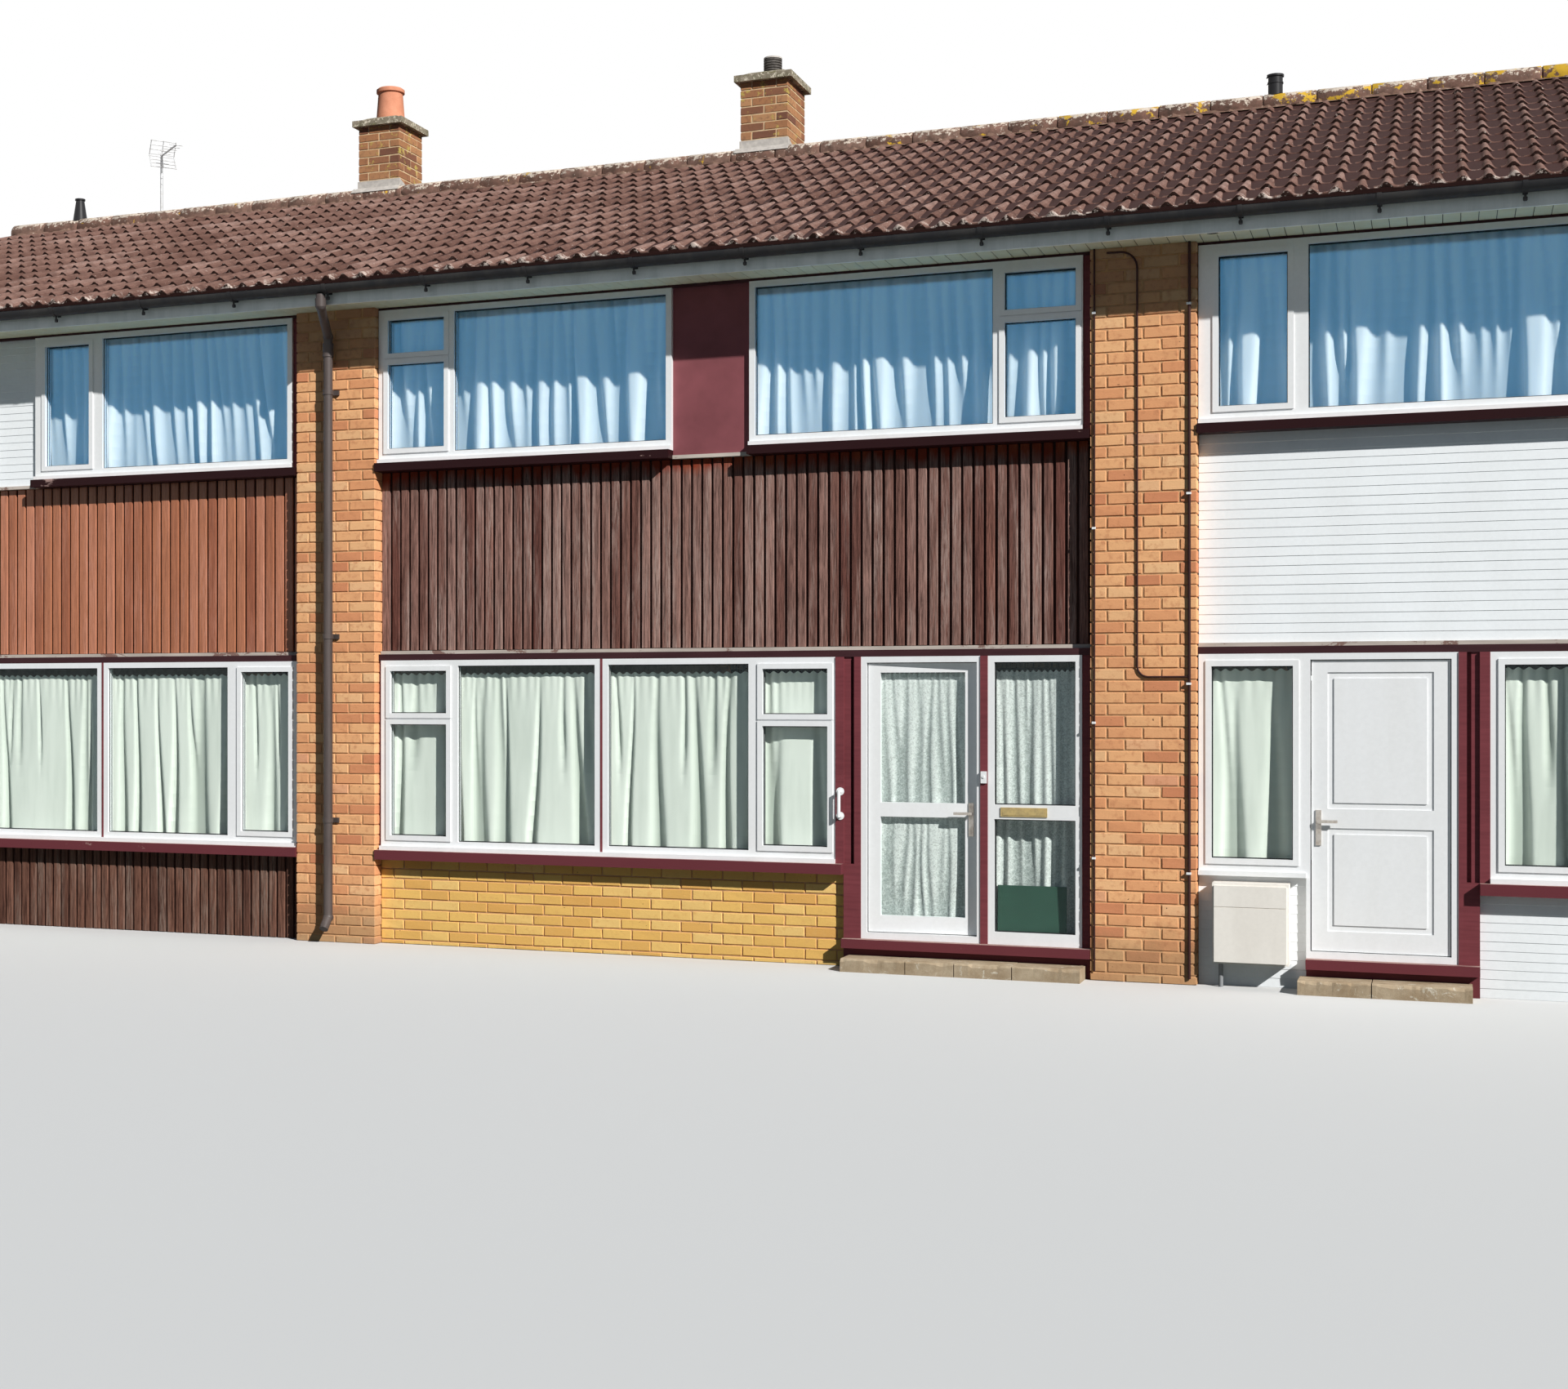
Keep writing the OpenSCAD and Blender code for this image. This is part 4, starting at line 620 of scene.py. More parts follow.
def buildPlinths():
    pile = Pile(12)
    for low, high in islandsOf("plinth_walls"):
        side, face, back = facing(low, high)
        # bricks show under the centre's front window and along the rear, cladding hides the others
        wide = high[0] - low[0] > plinth["width"]
        faced = side > 0 or (wide and abs(face - plinth["front"]) < plinth["near"])
        inset = brick["recess"] if faced else 0
        pile.block((low[0], face - side * inset, low[2]), (high[0], back, high[2]), 0.5, 1)
        course, top = 0, high[2] - brick["bed"]
        while faced and top > plinth["lowest"]:
            start = low[0] - (brick["half"] if course % 2 else plinth["start"])
            ends = low[0] + plinth["inset"], high[0] - plinth["inset"]
            for a, b in courseSpans(start, *ends, plinth["least"]):
                foot = max(top - brick["height"], brick["ground"])
                layBrick(pile, (a, face - side * brickSkin(pile, "plinth"), foot),
                         (b, face - side * plinth["deep"], top))
            course += 1
            top -= brick["course"]
    pile.finish("plinthBrickwork", ("plinthBrick", "paleMortar"), replaces=["plinth_walls"])


party = {"end": 9, "gable": 5, "deep": 0.05, "least": 0.02}


def buildPartyWalls():
    # plain walls between the houses; the outer faces of the two end walls show their bricks
    pile = Pile(13)
    inset, slope = brick["recess"], math.tan(roof["pitch"])
    for low, high in islandsOf("party_walls"):
        outer = -1 if low[0] < -party["end"] else 1 if high[0] > party["end"] else 0
        x0 = low[0] + (inset if outer < 0 else 0)
        x1 = high[0] - (inset if outer > 0 else 0)
        gable = high[2] > party["gable"]
        if gable:
            run = high[1]
            eave = high[2] - run * slope
            outline = [(-run, low[2]), (run, low[2]), (run, eave), (0, high[2]), (-run, eave)]
            pile.add(*prism(outline, x0, x1), 0.5, 1)
        else:
            pile.block((x0, low[1], low[2]), (x1, high[1], high[2]), 0.5, 1)
        face = low[0] if outer < 0 else high[0]
        course, z = 0, low[2] if gable else 0.0
        while outer and z < high[2] - party["least"]:
            top = min(z + brick["height"], high[2])
            reach = min(high[1], (high[2] - top) / slope) if gable else high[1]
            start = -reach - (course % 2 * brick["half"] - reach) % brick["pitch"]
            for a, b in courseSpans(start, -reach, reach, party["least"]):
                layBrick(pile, (face - outer * brickSkin(pile, "party"), a, z + brick["ground"]),
                         (face - outer * party["deep"], b, top), 0)
            course += 1
            z += brick["course"]
    pile.finish("partyBrickwork", ("partyBrick", "greyMortar"), replaces=["party_walls"])


def buildChimneys():
    # courses turn their corners in alternate directions
    pile = Pile(14)
    inset, gap, joint, width = 0.006, 0.001, brick["joint"], brick["width"]
    for low, high in islandsOf("chimney_stacks"):
        w, d = high[0] - low[0], high[1] - low[1]
        pile.block((low[0] + inset, low[1] + inset, low[2]),
                   (high[0] - inset, high[1] - inset, high[2]), 0.5, 1)
        top, course = high[2] - brick["bed"], 0
        while top > low[2]:
            cells = []
            runs = (w, d - 2 * (width + joint)) if course % 2 else (w - 2 * (width + joint), d)
            for axis, run in enumerate(runs):
                count = max(1, round(run / brick["pitch"]))
                part = (run - (count - 1) * joint) / count
                for i in range(count):
                    a = ((w, d)[axis] - run) / 2 + i * (part + joint)
                    cells += [(axis, a, a + part, far) for far in (0, 1)]
            for axis, a, b, far in cells:
                skin = brickSkin(pile, "chimney")
                across = (d, w)[axis]
                spans = [(a + gap, b - gap), (across - width, across - skin) if far else (skin, width)]
                (x0, x1), (y0, y1) = spans[::-1] if axis else spans
                layBrick(pile, (low[0] + x0, low[1] + y0, top - brick["height"]),
                         (low[0] + x1, low[1] + y1, top))
            course += 1
            top -= brick["course"]
    pile.finish("chimneyBrickwork", ("chimneyBrick", "chimneyMortar"),
                replaces=["chimney_stacks"])


# Roof; most holds the greatest lift, slide and turn of a tile
roof = {"pitch": math.radians(21.1), "eavesY": 4.72, "eavesZ": 4.811, "courses": 13, "courseLength": 0.38917,
        "headThick": 0.04, "buttThick": 0.065, "tileWidth": 0.28, "rollPitch": 0.14, "rollHeight": 0.034,
        "rollShare": 0.7, "edge": 0.014, "hollow": 0.024, "steps": 18, "lap": 0.045, "start": 0.02,
        "deck": 0.026, "nose": 0.004, "round": 0.006, "side": 0.0035, "most": (0.0016, 0.004, 0.008)}


def rollAt(u):
    # height of the two rolls across a tile, 0 in the pans
    t = abs(u / roof["rollPitch"] % 1 - 0.5) / (roof["rollShare"] / 2)
    return 0.0 if t >= 1 else 0.5 * (1 + math.cos(math.pi * t))


def slopePoint(side, u, s, lift):
    c, n = math.cos(roof["pitch"]), math.sin(roof["pitch"])
    return (u, side * (roof["eavesY"] - s * c + lift * n), roof["eavesZ"] + s * n + lift * c)


def roofHeight(y):
    rise = (roof["eavesY"] - abs(y)) * math.tan(roof["pitch"])
    return roof["eavesZ"] + rise + roof["buttThick"] / math.cos(roof["pitch"])


def buildTiles(name, side, seed):
    pile = Pile(seed)
    half, width, length, nose = layout["halfRow"], roof["tileWidth"], roof["courseLength"], roof["nose"]
    ends = [slopePoint(side, u, s, t) for t in (0.0, roof["deck"]) for s in (nose, roof["courses"] * length)
            for u in (-half, half)]
    faces = [[0, 1, 3, 2], [4, 6, 7, 5], [0, 4, 5, 1], [2, 3, 7, 6], [0, 2, 6, 4], [1, 5, 7, 3]]
    pile.add(ends, faces, 0.1, 1)
    drop = (roof["buttThick"] - roof["headThick"]) / length
    for course in range(roof["courses"]):
        offset = roof["rollPitch"] * (course % 2) + roof["start"]
        lap = roof["lap"] if course < roof["courses"] - 1 else 0
        for k in range(-1, int(2 * half / width) + 3):
            left = -half + k * width - offset
            lift, slide, turn = [pile.rng.uniform(-most, most) for most in roof["most"]]
            tone = min(1, max(0, pile.rng.gauss(0.5, 0.27)))
            columns = [left + width * i / roof["steps"] for i in range(roof["steps"] + 1)]
            inside = [u for u in columns if -half <= u <= half]
            if len(inside) < 3:
                continue
            s0 = max(0.001, course * length + slide)
            b = (course + 1) * length + lap
            rows = [[], [], [], []]
            for u in inside:
                share, roll = (u - left) / width, rollAt(u - left)
                a = s0 + turn * (share - 0.5) * 0.6
                wave = roll * roof["rollHeight"] - roof["rollHeight"]
                # the interlocking side rides a little high
                low = roof["buttThick"] + wave + lift + roof["side"] * (1 - share) - nose
                rows[0].append(slopePoint(side, u, a + nose, low - (roof["edge"] + roll * roof["hollow"])))
                rows[1].append(slopePoint(side, u, a, low - nose))
                rows[2].append(slopePoint(side, u, a + roof["round"], low))
                rows[3].append(slopePoint(side, u, b, low - drop * (b - a)))
            faces = sheetFaces(4, len(inside))
            crowns = [rollAt((a + b) / 2 - left) for a, b in zip(inside, inside[1:])]
            # the pans are darker, partly dirt and partly painted shade, and the open end of a roll is painted
            # near-black as the shade in its hollow
            tones = [(0.35 + 0.65 * tone) * (0.55 + 0.45 * crown) for crown in crowns]
            paintedShadeButts = [0.0 if crown > 0.15 else shown for crown, shown in zip(crowns, tones)]
            pile.add(sum(rows, []), faces if side < 0 else turnedOver(faces), paintedShadeButts + tones * 2, 0, True)
    pile.finish(name, ("roofTile", "grooveDark"), replaces=["roof_slopes"])


ridge = {"radius": 0.105, "height": 6.66, "length": 0.415, "gap": 0.01, "thick": 0.016, "arc": 100,
         "steps": 14, "stackGap": 0.006, "droop": 0.005, "shift": 0.003, "bedIn": 0.013, "bedStep": 0.03}


def ridgeParts(x0, x1, stacks):
    # a run split where a stack stands: there only the front half of the ridge passes
    cuts = sorted({x0, x1} | {c for pair in stacks for c in pair if x0 < c < x1})
    for a, b in zip(cuts, cuts[1:]):
        yield a, b, any(low < (a + b) / 2 < high for low, high in stacks)


def ridgeArcs(stations, halved, shift, droop):
    # points over the ridge at each station, as far as the top where it is halved
    last = ridge["steps"] // 2 if halved else ridge["steps"]
    points = []
    for x, r in stations:
        for j in range(last + 1):
            a = math.radians(-ridge["arc"] + 2 * ridge["arc"] * j / ridge["steps"])
            points.append((x, shift * (not halved) - 0.001 + r * math.sin(a),
                           ridge["height"] + droop + r * math.cos(a)))
    return points, sheetFaces(len(stations), last + 1, down=True)


def buildRidge():
    pile = Pile(23)
    gap = ridge["stackGap"]
    stacks = [(low[0] - gap, high[0] + gap) for low, high in islandsOf("chimney_stacks")]
    (low, high), = islandsOf("ridge_tiles")
    x0, x1, outer, inner = low[0], high[0], ridge["radius"], ridge["radius"] - ridge["thick"]
    for i in range(int((x1 - x0) / ridge["length"]) + 1):
        start, end = x0 + i * ridge["length"], min(x1, x0 + (i + 1) * ridge["length"] - ridge["gap"])
        droop = pile.rng.uniform(-ridge["droop"], 0.0)
        shift = pile.rng.uniform(-ridge["shift"], ridge["shift"])
        tone = pile.rng.random()
        for a, b, halved in ridgeParts(start, end, stacks):
            stations = ((a, inner), (a, outer - 0.004), (a + 0.004, outer - 0.001),
                        (b - 0.004, outer - 0.002), (b, outer - 0.005), (b, inner))
            pile.add(*ridgeArcs(stations, halved, shift, droop), tone, 0, True)
    for a, b, halved in ridgeParts(x0 + 0.002, x1 - 0.002, stacks):
        # mortar bedding under the tiles and squeezed out along both edges
        r = outer - ridge["bedIn"]
        points, faces = ridgeArcs(((a, r), (b, r)), halved, 0, 0)
        n = len(points) // 2
        pile.add(points, faces + [list(range(n)), list(range(2 * n - 1, n - 1, -1))], 0.4, 1)
        for side in (-1, 1)[:1 if halved else 2]:
            steps = max(2, int((b - a) / ridge["bedStep"]))
            points = []
            for i in range(steps + 1):
                x = a + (b - a) * i / steps
                out = outer + pile.rng.uniform(-0.01, 0.012)
                z = ridge["height"] - 0.02 + pile.rng.uniform(-0.006, 0.004)
                foot = roofHeight(out + 0.012) - 0.03
                points += [(x, side * out * 0.8, z + 0.035), (x, side * out, z),
                           (x, side * (out + 0.014), foot)]
            faces = sheetFaces(steps + 1, 3, down=True)
            pile.add(points, faces if side > 0 else turnedOver(faces), 0.4, 1)
    pile.finish("ridgeTiles", ("ridgeTile", "roofMortar"), replaces=["ridge_tiles"])


buildPiers()
buildPlinths()
buildPartyWalls()
buildChimneys()
print("brickwork laid")
buildTiles("frontTiles", -1, 21)
buildTiles("rearTiles", 1, 22)
buildRidge()
print("roof tiled")


# Cladding
cladding = {"deep": 0.018, "tuck": 0.004, "chamfer": 0.0035, "uneven": 0.0022, "top": 0.001, "side": 0.0006,
            "lean": 0.0012, "foot": 0.003}


def buildBoards(name, nodeName, pitch, gap, looks, seed):
    # the second look is for the boards under the windows
    pile = Pile(seed)
    for low, high in islandsOf(nodeName):
        side, face, back = facing(low, high)
        slot = 1 if high[2] < 1 else 0
        deep, width = cladding["deep"], high[0] - low[0]
        pile.block((low[0], face - side * deep, low[2]), (high[0], back, high[2] - cladding["top"]), 0.1, 2)
        mirrored = round((low[0] + high[0]) / 2, 1) < -1
        for k in range(int(width / pitch) + 1):
            a = k * pitch + (gap / 2 if k else 0)
            b = min((k + 1) * pitch - gap / 2, width)
            if b - a < 0.006:
                continue
            a, b = (high[0] - b, high[0] - a) if mirrored else (low[0] + a, low[0] + b)
            dip = pile.rng.uniform(0.0004, cladding["uneven"])
            lean = pile.rng.uniform(-cladding["lean"], cladding["lean"])
            inner = face - side * (deep + cladding["tuck"])
            points, faces = chamferedBlock(
                [a + cladding["side"], min(face, inner), low[2] + pile.rng.uniform(0, cladding["foot"])],
                [b - cladding["side"], max(face, inner), high[2] - cladding["top"]], cladding["chamfer"])
            points = [(x + lean * (z - low[2]), y - side * dip, z) for x, y, z in points]
            pile.add(points, faces, min(1, max(0, pile.rng.gauss(0.5, 0.28))), slot)
    pile.finish(name, (*looks, "grooveDark"), replaces=[nodeName])


shiplap = {"board": 0.059, "lap": 0.0036, "nose": 0.0012, "sag": 0.0006, "step": 0.0008}


def buildShiplap():
    # each board leans out to a foot that laps the board below
    pile = Pile(34)
    for low, high in islandsOf("white_shiplap"):
        side, face, back = facing(low, high)
        count = round((high[2] - low[2]) / shiplap["board"])
        tall = (high[2] - low[2]) / count
        lap, nose = shiplap["lap"], shiplap["nose"]
        outline = [(back, low[2])]
        for k in range(count):
            z, out = low[2] + k * tall, pile.rng.uniform(0, shiplap["sag"])
            outline += [(face - side * (out + nose), z), (face - side * out, z + nose),
                        (face - side * lap, z + tall - shiplap["step"]), (face - side * lap, z + tall)]
        outline.append((back, high[2]))
        points, faces = prism(outline, low[0], high[0])
        pile.add(points, faces if side > 0 else turnedOver(faces))
    pile.finish("shiplapBoards", ("shiplapPlastic",), replaces=["white_shiplap"])


terminal = {"wide": 0.084, "rib": 0.009, "ribs": 6, "height": 0.175, "foot": 0.02, "lid": 0.016, "steps": 32}


def buildTerminal():
    # ribbed metal drum with a pale lid, lower and wider than the plain terminal that it replaces
    pile = Pile()
    (low, high), = islandsOf("flue_terminal")
    x, y, z = (low[0] + high[0]) / 2, (low[1] + high[1]) / 2, low[2]
    wide, foot, lid, n = terminal["wide"], terminal["foot"], terminal["lid"], terminal["steps"]
    profile = [(wide * 0.8, z), (wide * 0.8, z + foot)]
    part = (terminal["height"] - foot - lid) / terminal["ribs"]
    for k in range(terminal["ribs"]):
        at = z + foot + k * part
        profile += [(wide - terminal["rib"], at), (wide, at + part * 0.25), (wide, at + part * 0.75),
                    (wide - terminal["rib"], at + part)]
    body = len(profile) * n
    top = z + terminal["height"]
    profile += [(wide, top - lid), (wide, top - 0.004), (wide * 0.93, top), (0.001, top + 0.006)]
    turns = [2 * math.pi * k / n for k in range(n)]
    points = [(x + r * math.cos(t), y + r * math.sin(t), h) for r, h in profile for t in turns]
    faces = sheetFaces(len(profile), n, closed=True)
    pile.add(points, faces[:body])
    pile.add(points, faces[body:], slot=1)
    pile.finish("flueDrum", ("flueMetal", "leadSheet"), replaces=["flue_terminal"])


soffit = {"board": 0.1, "groove": 0.004, "chamfer": 0.002, "thick": 0.008}


def buildSoffits():
    pile = Pile(33)
    board, edge = soffit["board"], soffit["groove"] / 2
    for low, high in islandsOf("soffits"):
        pile.block((low[0], low[1], low[2] + soffit["groove"]), high, 0.2, 1)
        for k in range(int((high[0] - low[0]) / board) + 1):
            a, b = low[0] + k * board + edge, min(low[0] + (k + 1) * board - edge, high[0])
            if b - a > 0.01:
                pile.block((a, low[1], low[2]), (b, high[1], low[2] + soffit["thick"]), pile.rng.random(), 0,
                           soffit["chamfer"])
    pile.finish("soffitBoards", ("creamPlastic", "rubber"), replaces=["soffits"])


buildBoards("brownBoarding", "brown_cladding", 0.076, 0.017, ("brownBoards", "lowBoards"), 31)
buildBoards("redBoarding", "red_cladding", 0.085, 0.0155, ("redBoards", "redBoards"), 32)
buildShiplap()
buildTerminal()
buildSoffits()
print("cladding fixed")


# Windows
bead = {"width": 0.006, "proud": 0.0025}


def buildGaskets():
    # dark rubber bead round every pane, inside and out
    pile = Pile()
    w = bead["width"]
    for nodeName in ("upper_glass", "lower_glass", "rear_glass"):
        for (x0, front, z0), (x1, rear, z1) in islandsOf(nodeName):
            for y, out in ((front, -bead["proud"]), (rear, bead["proud"])):
                for a, b, c, d in ((x0, z0, x1, z0 + w), (x0, z1 - w, x1, z1), (x0, z0 + w, x0 + w, z1 - w),
                                   (x1 - w, z0 + w, x1, z1 - w)):
                    pile.block((a, y, b), (c, y + out, d))
    pile.finish("glassGaskets", ("rubber",))


buildGaskets()


# Net curtains; a hanging says how far apart, how deep and how wide its folds are, and where creases end
curtain = {"column": 0.0085, "rearColumn": 0.02, "rows": 14, "pleat": 0.062, "face": 4.166,
           "lacedFace": 4.138, "foot": 0.05, "head": {"upper": -0.06, "lower": 0.092}}
hangings = {"upper": {"spacing": 0.112, "fold": 0.105, "steps": (0.75, 0.9, 1.0, 1.25),
                      "wide": (0.024, 0.03, 0.036), "ends": (2.0,)},
            "lower": {"spacing": 0.14, "fold": 0.062, "steps": (0.35, 0.6, 0.9, 1.3, 1.8),
                      "wide": (0.014, 0.018, 0.024, 0.034), "ends": (0.6, 2.0, 2.0, 2.0)},
            "laced": {"spacing": 0.07, "fold": 0.05, "steps": (0.7, 0.9, 1.0, 1.3),
                      "wide": (0.014, 0.018, 0.024), "ends": (2.0,)}}


def creases(width, hanging, rng):
    # valleys that start at the heading: place, half width, how far they wander, where they end and how deep
    found, at = [], rng.uniform(0.2, 0.8) * hanging["spacing"]
    while at < width:
        found.append((at, rng.choice(hanging["wide"]) * rng.uniform(0.8, 1.2),
                      rng.gauss(0, 0.2) * hanging["spacing"], rng.choice(hanging["ends"]),
                      rng.uniform(0.9, 1.6), rng.uniform(0, 6.3)))
        at += hanging["spacing"] * rng.choice(hanging["steps"]) * rng.uniform(0.88, 1.12)
    return found


def hangCurtain(name, low, high, inward, hanging, seed, look, nodeName, column, body=rowBody, matrix=None):
    # a curtain gathered at its heading: panels between creases that wander down to the hem;
    # its crests lie in the plane nearest the glass, its valleys a fold's depth further in
    rng = random.Random(seed)
    width, height = high[0] - low[0], high[2] - low[2]
    valleys = creases(width, hanging, rng)
    swell = [(rng.uniform(4, 12), rng.uniform(0, 6.3), rng.uniform(0.1, 0.22)) for k in range(3)]
    pleat = min(curtain["pleat"], hanging["spacing"] / 2)
    columns, rows = max(8, int(width / column)), curtain["rows"]
    points, tones = [], []
    for r in range(rows + 1):
        t = (r / rows) ** 1.25  # 0 at the head, 1 at the hem, with closer rows under the heading
        for c in range(columns + 1):
            u = width * c / columns
            out = 0.75 + sum(a * math.sin(k * u + b + 1.1 * t) for k, b, a in swell)
            for place, half, drift, end, deep, phase in valleys:
                centre = place + drift * t + 0.012 * math.sin(4 * t + phase)
                d = (u - centre) / (half * (0.75 + 0.9 * t))
                if abs(d) < 2.6:
                    out -= deep * math.exp(-d * d) * (0.55 + 1.15 * t) * max(0, min(1, (end - t) * 4))
            heading = math.sin(u / pleat * 6.28 + 1.5 * math.sin(u * 9))
            out += 0.34 * max(0, 1 - 4.5 * t) * heading
            out = math.tanh(out * 1.15)
            back = hanging["fold"] / 2 * (0.45 + 0.55 * t) * (1 - out)
            frill = 0 if r else 0.008 * (heading - 1)
            points.append((low[0] + u, low[1] + inward * back, high[2] - height * t + frill))
            # the tone carries painted shade: low in the valleys, high on the crests
            tones.append(0.5 + 0.5 * out)
    faces = sheetFaces(rows + 1, columns + 1, down=True)
    for face in faces:
        p = [Vector(points[i]) for i in face]
    if matrix:
        points = [tuple(matrix @ Vector(p)) for p in points]
    pile = Pile()
    pile.add(points, faces, [(tones[f[0]] + tones[f[3]]) / 2 for f in faces], 0, True)
    piece = pile.finish(name, (look,), body, [nodeName])


def hangCurtains():
    number = 0
    for storey in ("upper", "lower"):
        for low, high in islandsOf(storey + "_curtains"):
            where, inward = ("Front", 1) if low[1] < 0 else ("Rear", -1)
            number += 1
            laced = high[2] - low[2] > 1.8  # the tall ones hang beside the glazed doors
            face = -inward * curtain["lacedFace" if laced else "face"]
            look = "laceNet" if laced else storey + "Cloth"
            hangCurtain(f"{storey}{where}Curtain{number:02d}", [low[0], face, low[2] + curtain["foot"]],
                        [high[0], face, high[2] - curtain["head"][storey]], inward,
                        hangings["laced" if laced else storey], 100 + number, look, storey + "_curtains",
                        curtain["rearColumn" if inward < 0 else "column"])
    return number


# the door's lights: the height of each net's head and of its hem
door = {"hinge": (1.113, -4.178, 0.245), "ajar": 3.0, "net": (0.07, 0.0012, 0.655, 0.023), "column": 0.0055,
        "lights": ((0.8, 0.1), (1.745, 0.868)), "spacing": 0.066, "wide": (0.013, 0.017, 0.022)}


def hangDoorNets():
    # one short net behind each light of the leaf, from the leaf's own frame to the row's with the door ajar
    matrix = Matrix.Translation(door["hinge"]) @ Matrix.Rotation(math.radians(door["ajar"]), 4, "Z")
    x0, y0, x1, y1 = door["net"]
    hanging = {**hangings["laced"], "spacing": door["spacing"], "fold": y1 - y0, "wide": door["wide"]}
    for number, (head, hem) in enumerate(door["lights"]):
        hangCurtain(f"doorNet{number}", [x0, y0, hem], [x1, y0, head], 1, hanging, 210 + number, "laceNet",
                    "front_door_curtain", door["column"], "front_door", matrix)


print("curtains hung:", hangCurtains())
hangDoorNets()


# Small fittings
board = {"foot": (2.195, -4.15, 0.262), "lean": -2.5, "halfWidth": 0.225, "halfThick": 0.004, "tall": 0.318}
vent = {"place": (3.371, -4.5), "steps": 28,
        "rings": ((0.05, 0.0005), (0.048, 0.004), (0.036, 0.004), (0.034, 0.001))}
# a foot's parts: half width, the y and the z between which each lies, and its chamfer
feet = {"pitch": 0.79, "count": 24, "parts": ((0.012, 4.701, 4.682, 4.697, 4.722, 0.004),
                                               (0.007, 4.7, 4.69, 4.716, 4.748, 0.002))}


def buildGreenBoard():
    # thin board that leans behind the side light's lower pane
    pile = Pile()
    lean = Matrix.Translation(board["foot"]) @ Matrix.Rotation(math.radians(board["lean"]), 4, "X")
    w, t = board["halfWidth"], board["halfThick"]
    pile.block((-w, -t, 0.0), (w, t, board["tall"]), chamfer=0.0015, matrix=lean)
    pile.finish("greenBoard", ("greenBoard",))


def buildSoffitVent():
    # round louvre in the soffit, dark inside its rim
    pile = Pile()
    x, y, z, n = *vent["place"], layout["soffit"], vent["steps"]
    ring = [(math.cos(6.2832 * k / n), math.sin(6.2832 * k / n)) for k in range(n)]
    points = [(x + r * c, y + r * d, z - h) for r, h in vent["rings"] for c, d in ring]
    pile.add(points, turnedOver(sheetFaces(len(vent["rings"]), n, closed=True)), smooth=True)
    pile.add(points[-n:], [list(range(n))[::-1]], slot=1)
    pile.finish("soffitVent", ("creamPlastic", "rubber"))


def buildGutterFeet():
    # the black foot of every gutter bracket, hanging in front of the fascia
    pile = Pile()
    for side in (-1, 1):
        for k in range(feet["count"]):
            x = (k - (feet["count"] - 1) / 2) * feet["pitch"]
            for half, y0, y1, z0, z1, chamfer in feet["parts"]:
                pile.block((x - half, side * y0, z0), (x + half, side * y1, z1), chamfer=chamfer)
    pile.finish("gutterFeet", ("blackPlastic",))


buildGreenBoard()
buildSoffitVent()
buildGutterFeet()


# Doorsteps
step = {"slab": 0.42, "joint": 0.006, "chip": 0.011, "cell": 0.022, "uneven": 0.004}


def buildDoorsteps():
    # slabs with a worn, chipped front edge
    pile = Pile(41)
    for low, high in islandsOf("doorsteps"):
        side, near, far = facing(low, high)
        length = high[0] - low[0]
        count = max(2, round(length / step["slab"]))
        cuts = [low[0] + length * (k + pile.rng.uniform(-0.15, 0.15)) / count for k in range(1, count)]
        edges = [low[0], *cuts, high[0]]
        for a, b in zip(edges, edges[1:]):
            a, b = a + step["joint"] / 2, b - step["joint"] / 2
            n = max(4, int((b - a) / step["cell"]))
            top = high[2] - pile.rng.uniform(0, step["uneven"])
            tone = pile.rng.random()
            bite = [pile.rng.uniform(0, 0.3) for i in range(n + 1)]
            for i in range(pile.rng.randint(1, 3)):
                middle, size = pile.rng.uniform(0, n), pile.rng.uniform(1, 3)
                bite = [v + math.exp(-((k - middle) / size) ** 2) * pile.rng.uniform(0.5, 1.2)
                        for k, v in enumerate(bite)]
            rows = [[], [], [], [], []]
            for k in range(n + 1):
                x, c = a + (b - a) * k / n, min(1, bite[k]) * step["chip"]
                rows[0].append((x, near - side * 0.002, 0.0))
                rows[1].append((x, near - side * (0.001 + c * 0.4), top - 0.006 - c * 1.5))
                rows[2].append((x, near - side * (0.004 + c), top - 0.002 - c * 0.6))
                rows[3].append((x, near - side * (0.014 + c * 1.6), top))
                rows[4].append((x, far, top - 0.001))
            m = n + 1
            base = 5 * m
            faces = sheetFaces(5, m)
            faces += [[0, m, 2 * m, 3 * m, 4 * m, base],
                      [n, base + 1, 4 * m + n, 3 * m + n, 2 * m + n, m + n],
                      [4 * m + k for k in range(m)] + [base + 1, base]]
            points = sum(rows, []) + [(a, far, 0.0), (b, far, 0.0)]
            pile.add(points, faces if side < 0 else turnedOver(faces), tone)
    pile.finish("doorstepSlabs", ("stepStone",), replaces=["doorsteps"])


buildDoorsteps()


# Cable clips share the cables' node and get their own white; each cable's x has its clips' heights as shares
# of the soffit's height
clips = {3.21: (0.149, 0.404, 0.66, 0.915), 2.6225: (0.166, 0.351, 0.617, 0.911)}
clip = {"reach": 0.05, "below": 0.002, "above": 0.016}


def whitenClips():
    mesh = nodes["pier_cables"].data
    coat(mesh, "cableSheath", "whitePlastic")
    for polygon in mesh.polygons:
        x, y, z = polygon.center
        for at, shares in clips.items():
            rises = [z - share * layout["soffit"] for share in shares if abs(x - at) < clip["reach"]]
            if any(-clip["below"] < rise < clip["above"] for rise in rises):
                polygon.material_index = 1


whitenClips()

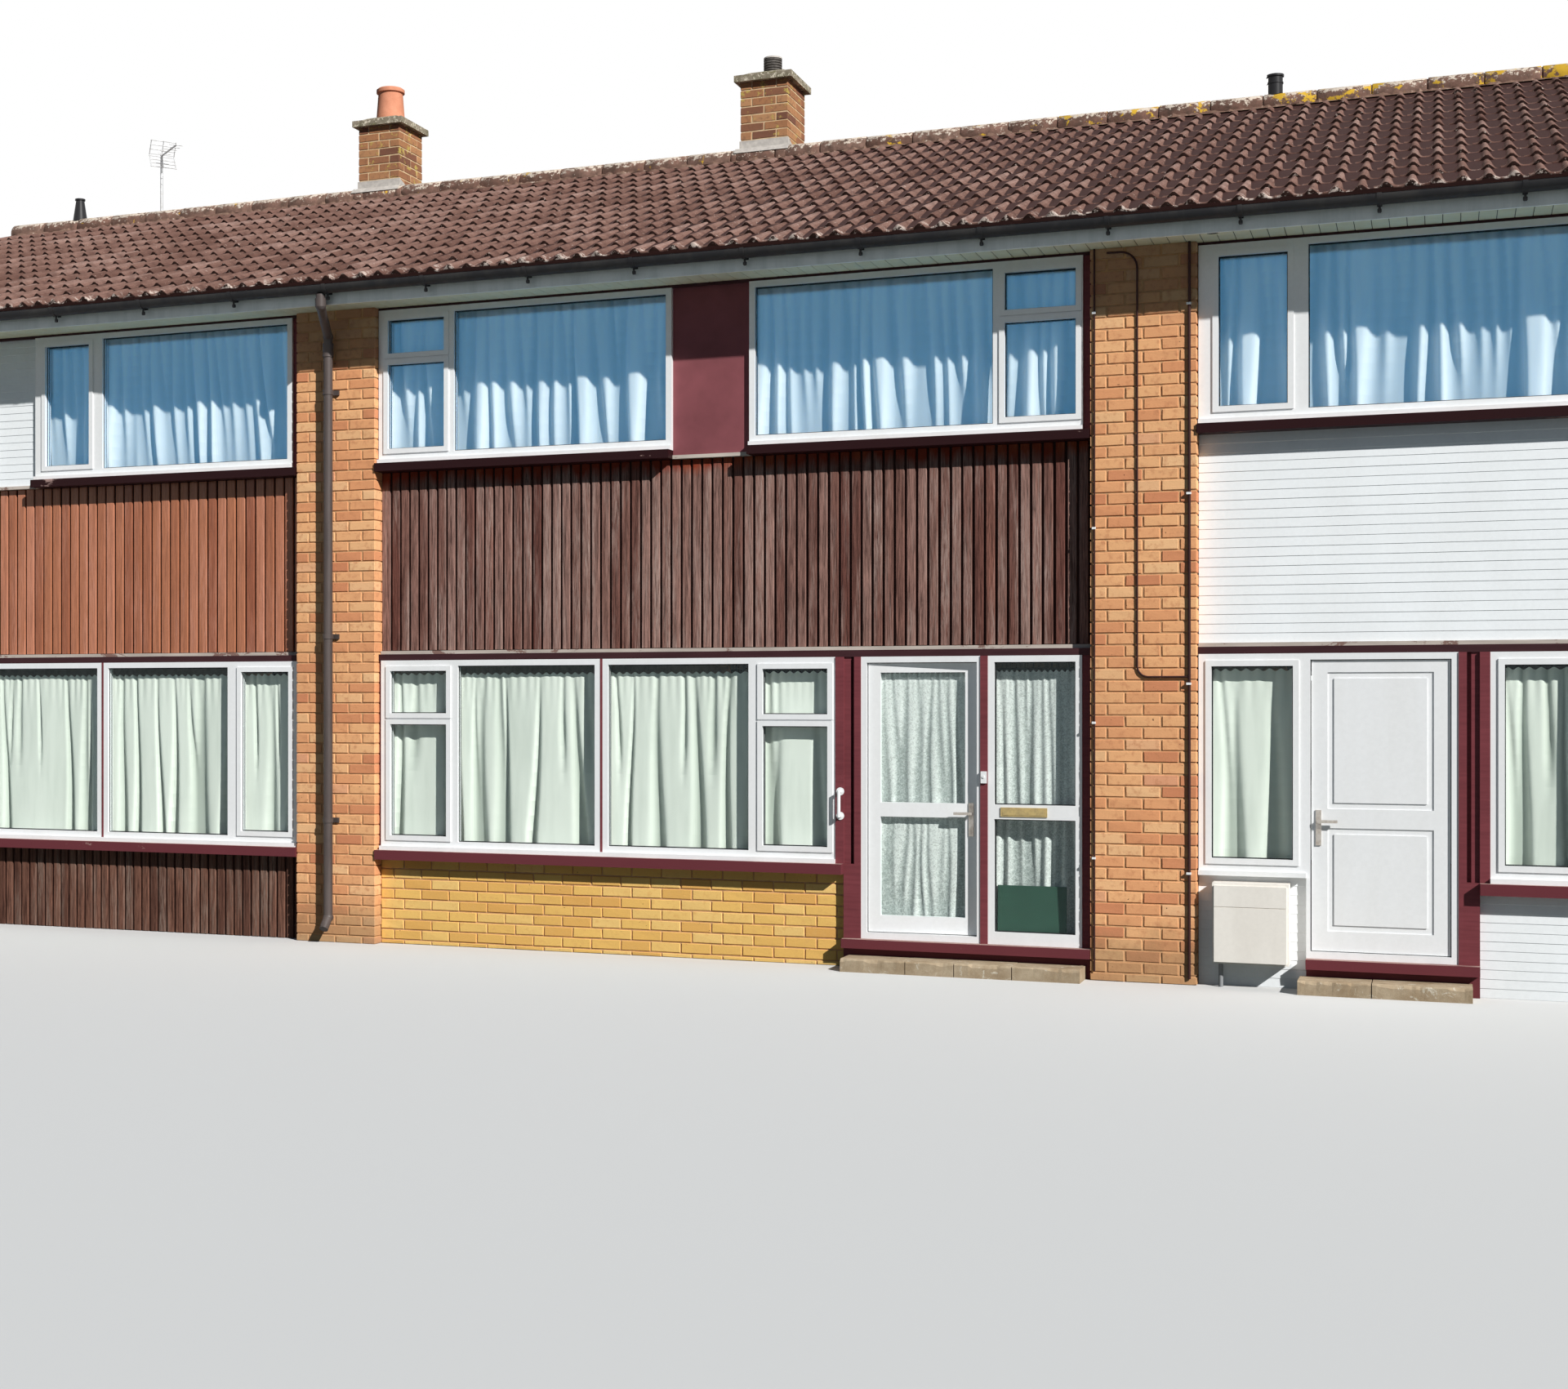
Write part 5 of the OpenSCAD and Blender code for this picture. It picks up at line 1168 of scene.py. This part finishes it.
# Nodes that keep their own shape, under their finish and the radius of their edges
dressed = {
    ("whitePlastic", 0.002): ("grab_rail", "bell_push"),
    ("whitePlastic", 0.0025): ("front_door_leaf", "right_door_leaf", "fixed_doors"),
    ("whitePlastic", 0.003): ("upper_window_frames", "lower_window_frames", "rear_window_frames",
                              "door_jambs", "door_rails"),
    ("whitePlastic", 0.005): ("white_sills",), ("sillTimber", 0.005): ("timber_sills", "door_sills"),
    ("maroonTimber", 0.002): ("timber_posts",), ("maroonPanel", 0.002): ("timber_panels",),
    # the head beams' near-black finish is painted shade
    ("darkTimber", 0.003): ("head_beams",), ("paleTrim", 0.003): ("drip_trims",),
    ("upperGlass", 0): ("upper_glass",), ("lowerGlass", 0): ("lower_glass", "rear_glass", "front_door_glass"),
    ("dullMetal", 0.002): ("front_door_handle", "right_door_handle"),
    ("brassPlate", 0.0015): ("letter_plate",), ("fasciaPlastic", 0.003): ("fascias",),
    ("meterPlastic", 0.004): ("meter_box",), ("greyPipe", 0): ("meter_pipe",),
    ("blackPlastic", 0): ("gutters",), ("pipePlastic", 0.001): ("downpipes",),
    ("blackPlastic", 0.002): ("roof_vents",), ("capConcrete", 0.008): ("chimney_caps",),
    ("clayPot", 0.002): ("chimney_pots",), ("leadSheet", 0.002): ("chimney_flashings",),
    ("aerialMetal", 0): ("tv_aerial",), ("floorConcrete", 0): ("ground_floors",),
    ("floorWood", 0): ("first_floors", "spandrel_walls")}
for (look, bevel), names in dressed.items():
    for nodeName in names:
        dress(nodeName, look, bevel)
print("nodes dressed")


# Stage
camera = {"place": (4.6851, -17.9498, 1.806), "turn": 22.3265, "lens": 47.91, "shift": (0.12726, 0.0032)}
suns = {"softSun": {"strength": 5.3, "softness": 0.9, "towards": (-1.38, 1.0, -1.08),
                    "color": (1.0, 0.985, 0.955)},
        "rearFill": {"strength": 3.0, "softness": 12, "towards": (0.6, -1.0, -0.35),
                     "color": (1.0, 0.98, 0.95)}}
sky = {"color": (0.62, 0.95, 1.35), "strength": 0.11}
ground = {"reach": 60, "color": (0.66, 0.66, 0.655), "bounce": (0.13, 0.14, 0.125), "fade": (16, 34)}

view = bpy.data.cameras.new("photoCamera")
view.lens, view.sensor_width = camera["lens"], 36
view.shift_x, view.shift_y = camera["shift"]
view.clip_end = 300
eye = place("photoCamera", view)
eye.location = camera["place"]
eye.rotation_euler = (math.radians(90), 0, math.radians(camera["turn"]))
bpy.context.scene.camera = eye

for name, sun in suns.items():
    lamp = bpy.data.lights.new(name, "SUN")
    lamp.energy, lamp.angle, lamp.color = sun["strength"], math.radians(sun["softness"]), sun["color"]
    place(name, lamp).rotation_euler = Vector(sun["towards"]).to_track_quat("-Z", "Y").to_euler()

# The camera, gloss and glass see white, and the sky's colour only lights the scene
world = bpy.data.worlds.new("studio")
bpy.context.scene.world = world
air = Finish("studio", world)
rays = air.node("LightPath").outputs
seen = air.sums("MAXIMUM", rays["Is Camera Ray"], rays["Is Glossy Ray"])
seen = air.sums("MAXIMUM", seen, rays["Is Transmission Ray"])
soft = air.out("Background", {"Color": sky["color"], "Strength": sky["strength"]})
white = air.out("Background", {"Color": (1, 1, 1), "Strength": 1.0})
air.end(air.mixed(seen, soft, white), "OutputWorld")

# A pale floor that fades out with its distance in metres from the middle of the row
floorMesh = bpy.data.meshes.new("studioFloor")
reach = ground["reach"]
corners = [(-reach, -reach, 0), (reach, -reach, 0), (reach, reach, 0), (-reach, reach, 0)]
floorMesh.from_pydata(corners, [], [[0, 1, 2, 3]])
floor = place("studioFloor", floorMesh)
pale = Finish("paleFloor")
bounced = pale.node("LightPath").outputs["Is Diffuse Ray"]
lit = pale.out("BsdfDiffuse", {"Color": pale.blend(bounced, ground["color"], ground["bounce"])})
away = pale.node("VectorMath", {0: pale.place}, operation="LENGTH").outputs["Value"]
clear = pale.out("BsdfTransparent")
floorMesh.materials.append(pale.end(pale.mixed(pale.mask(away, *ground["fade"]), lit, clear)))

bpy.context.scene.view_settings.view_transform = "Standard"
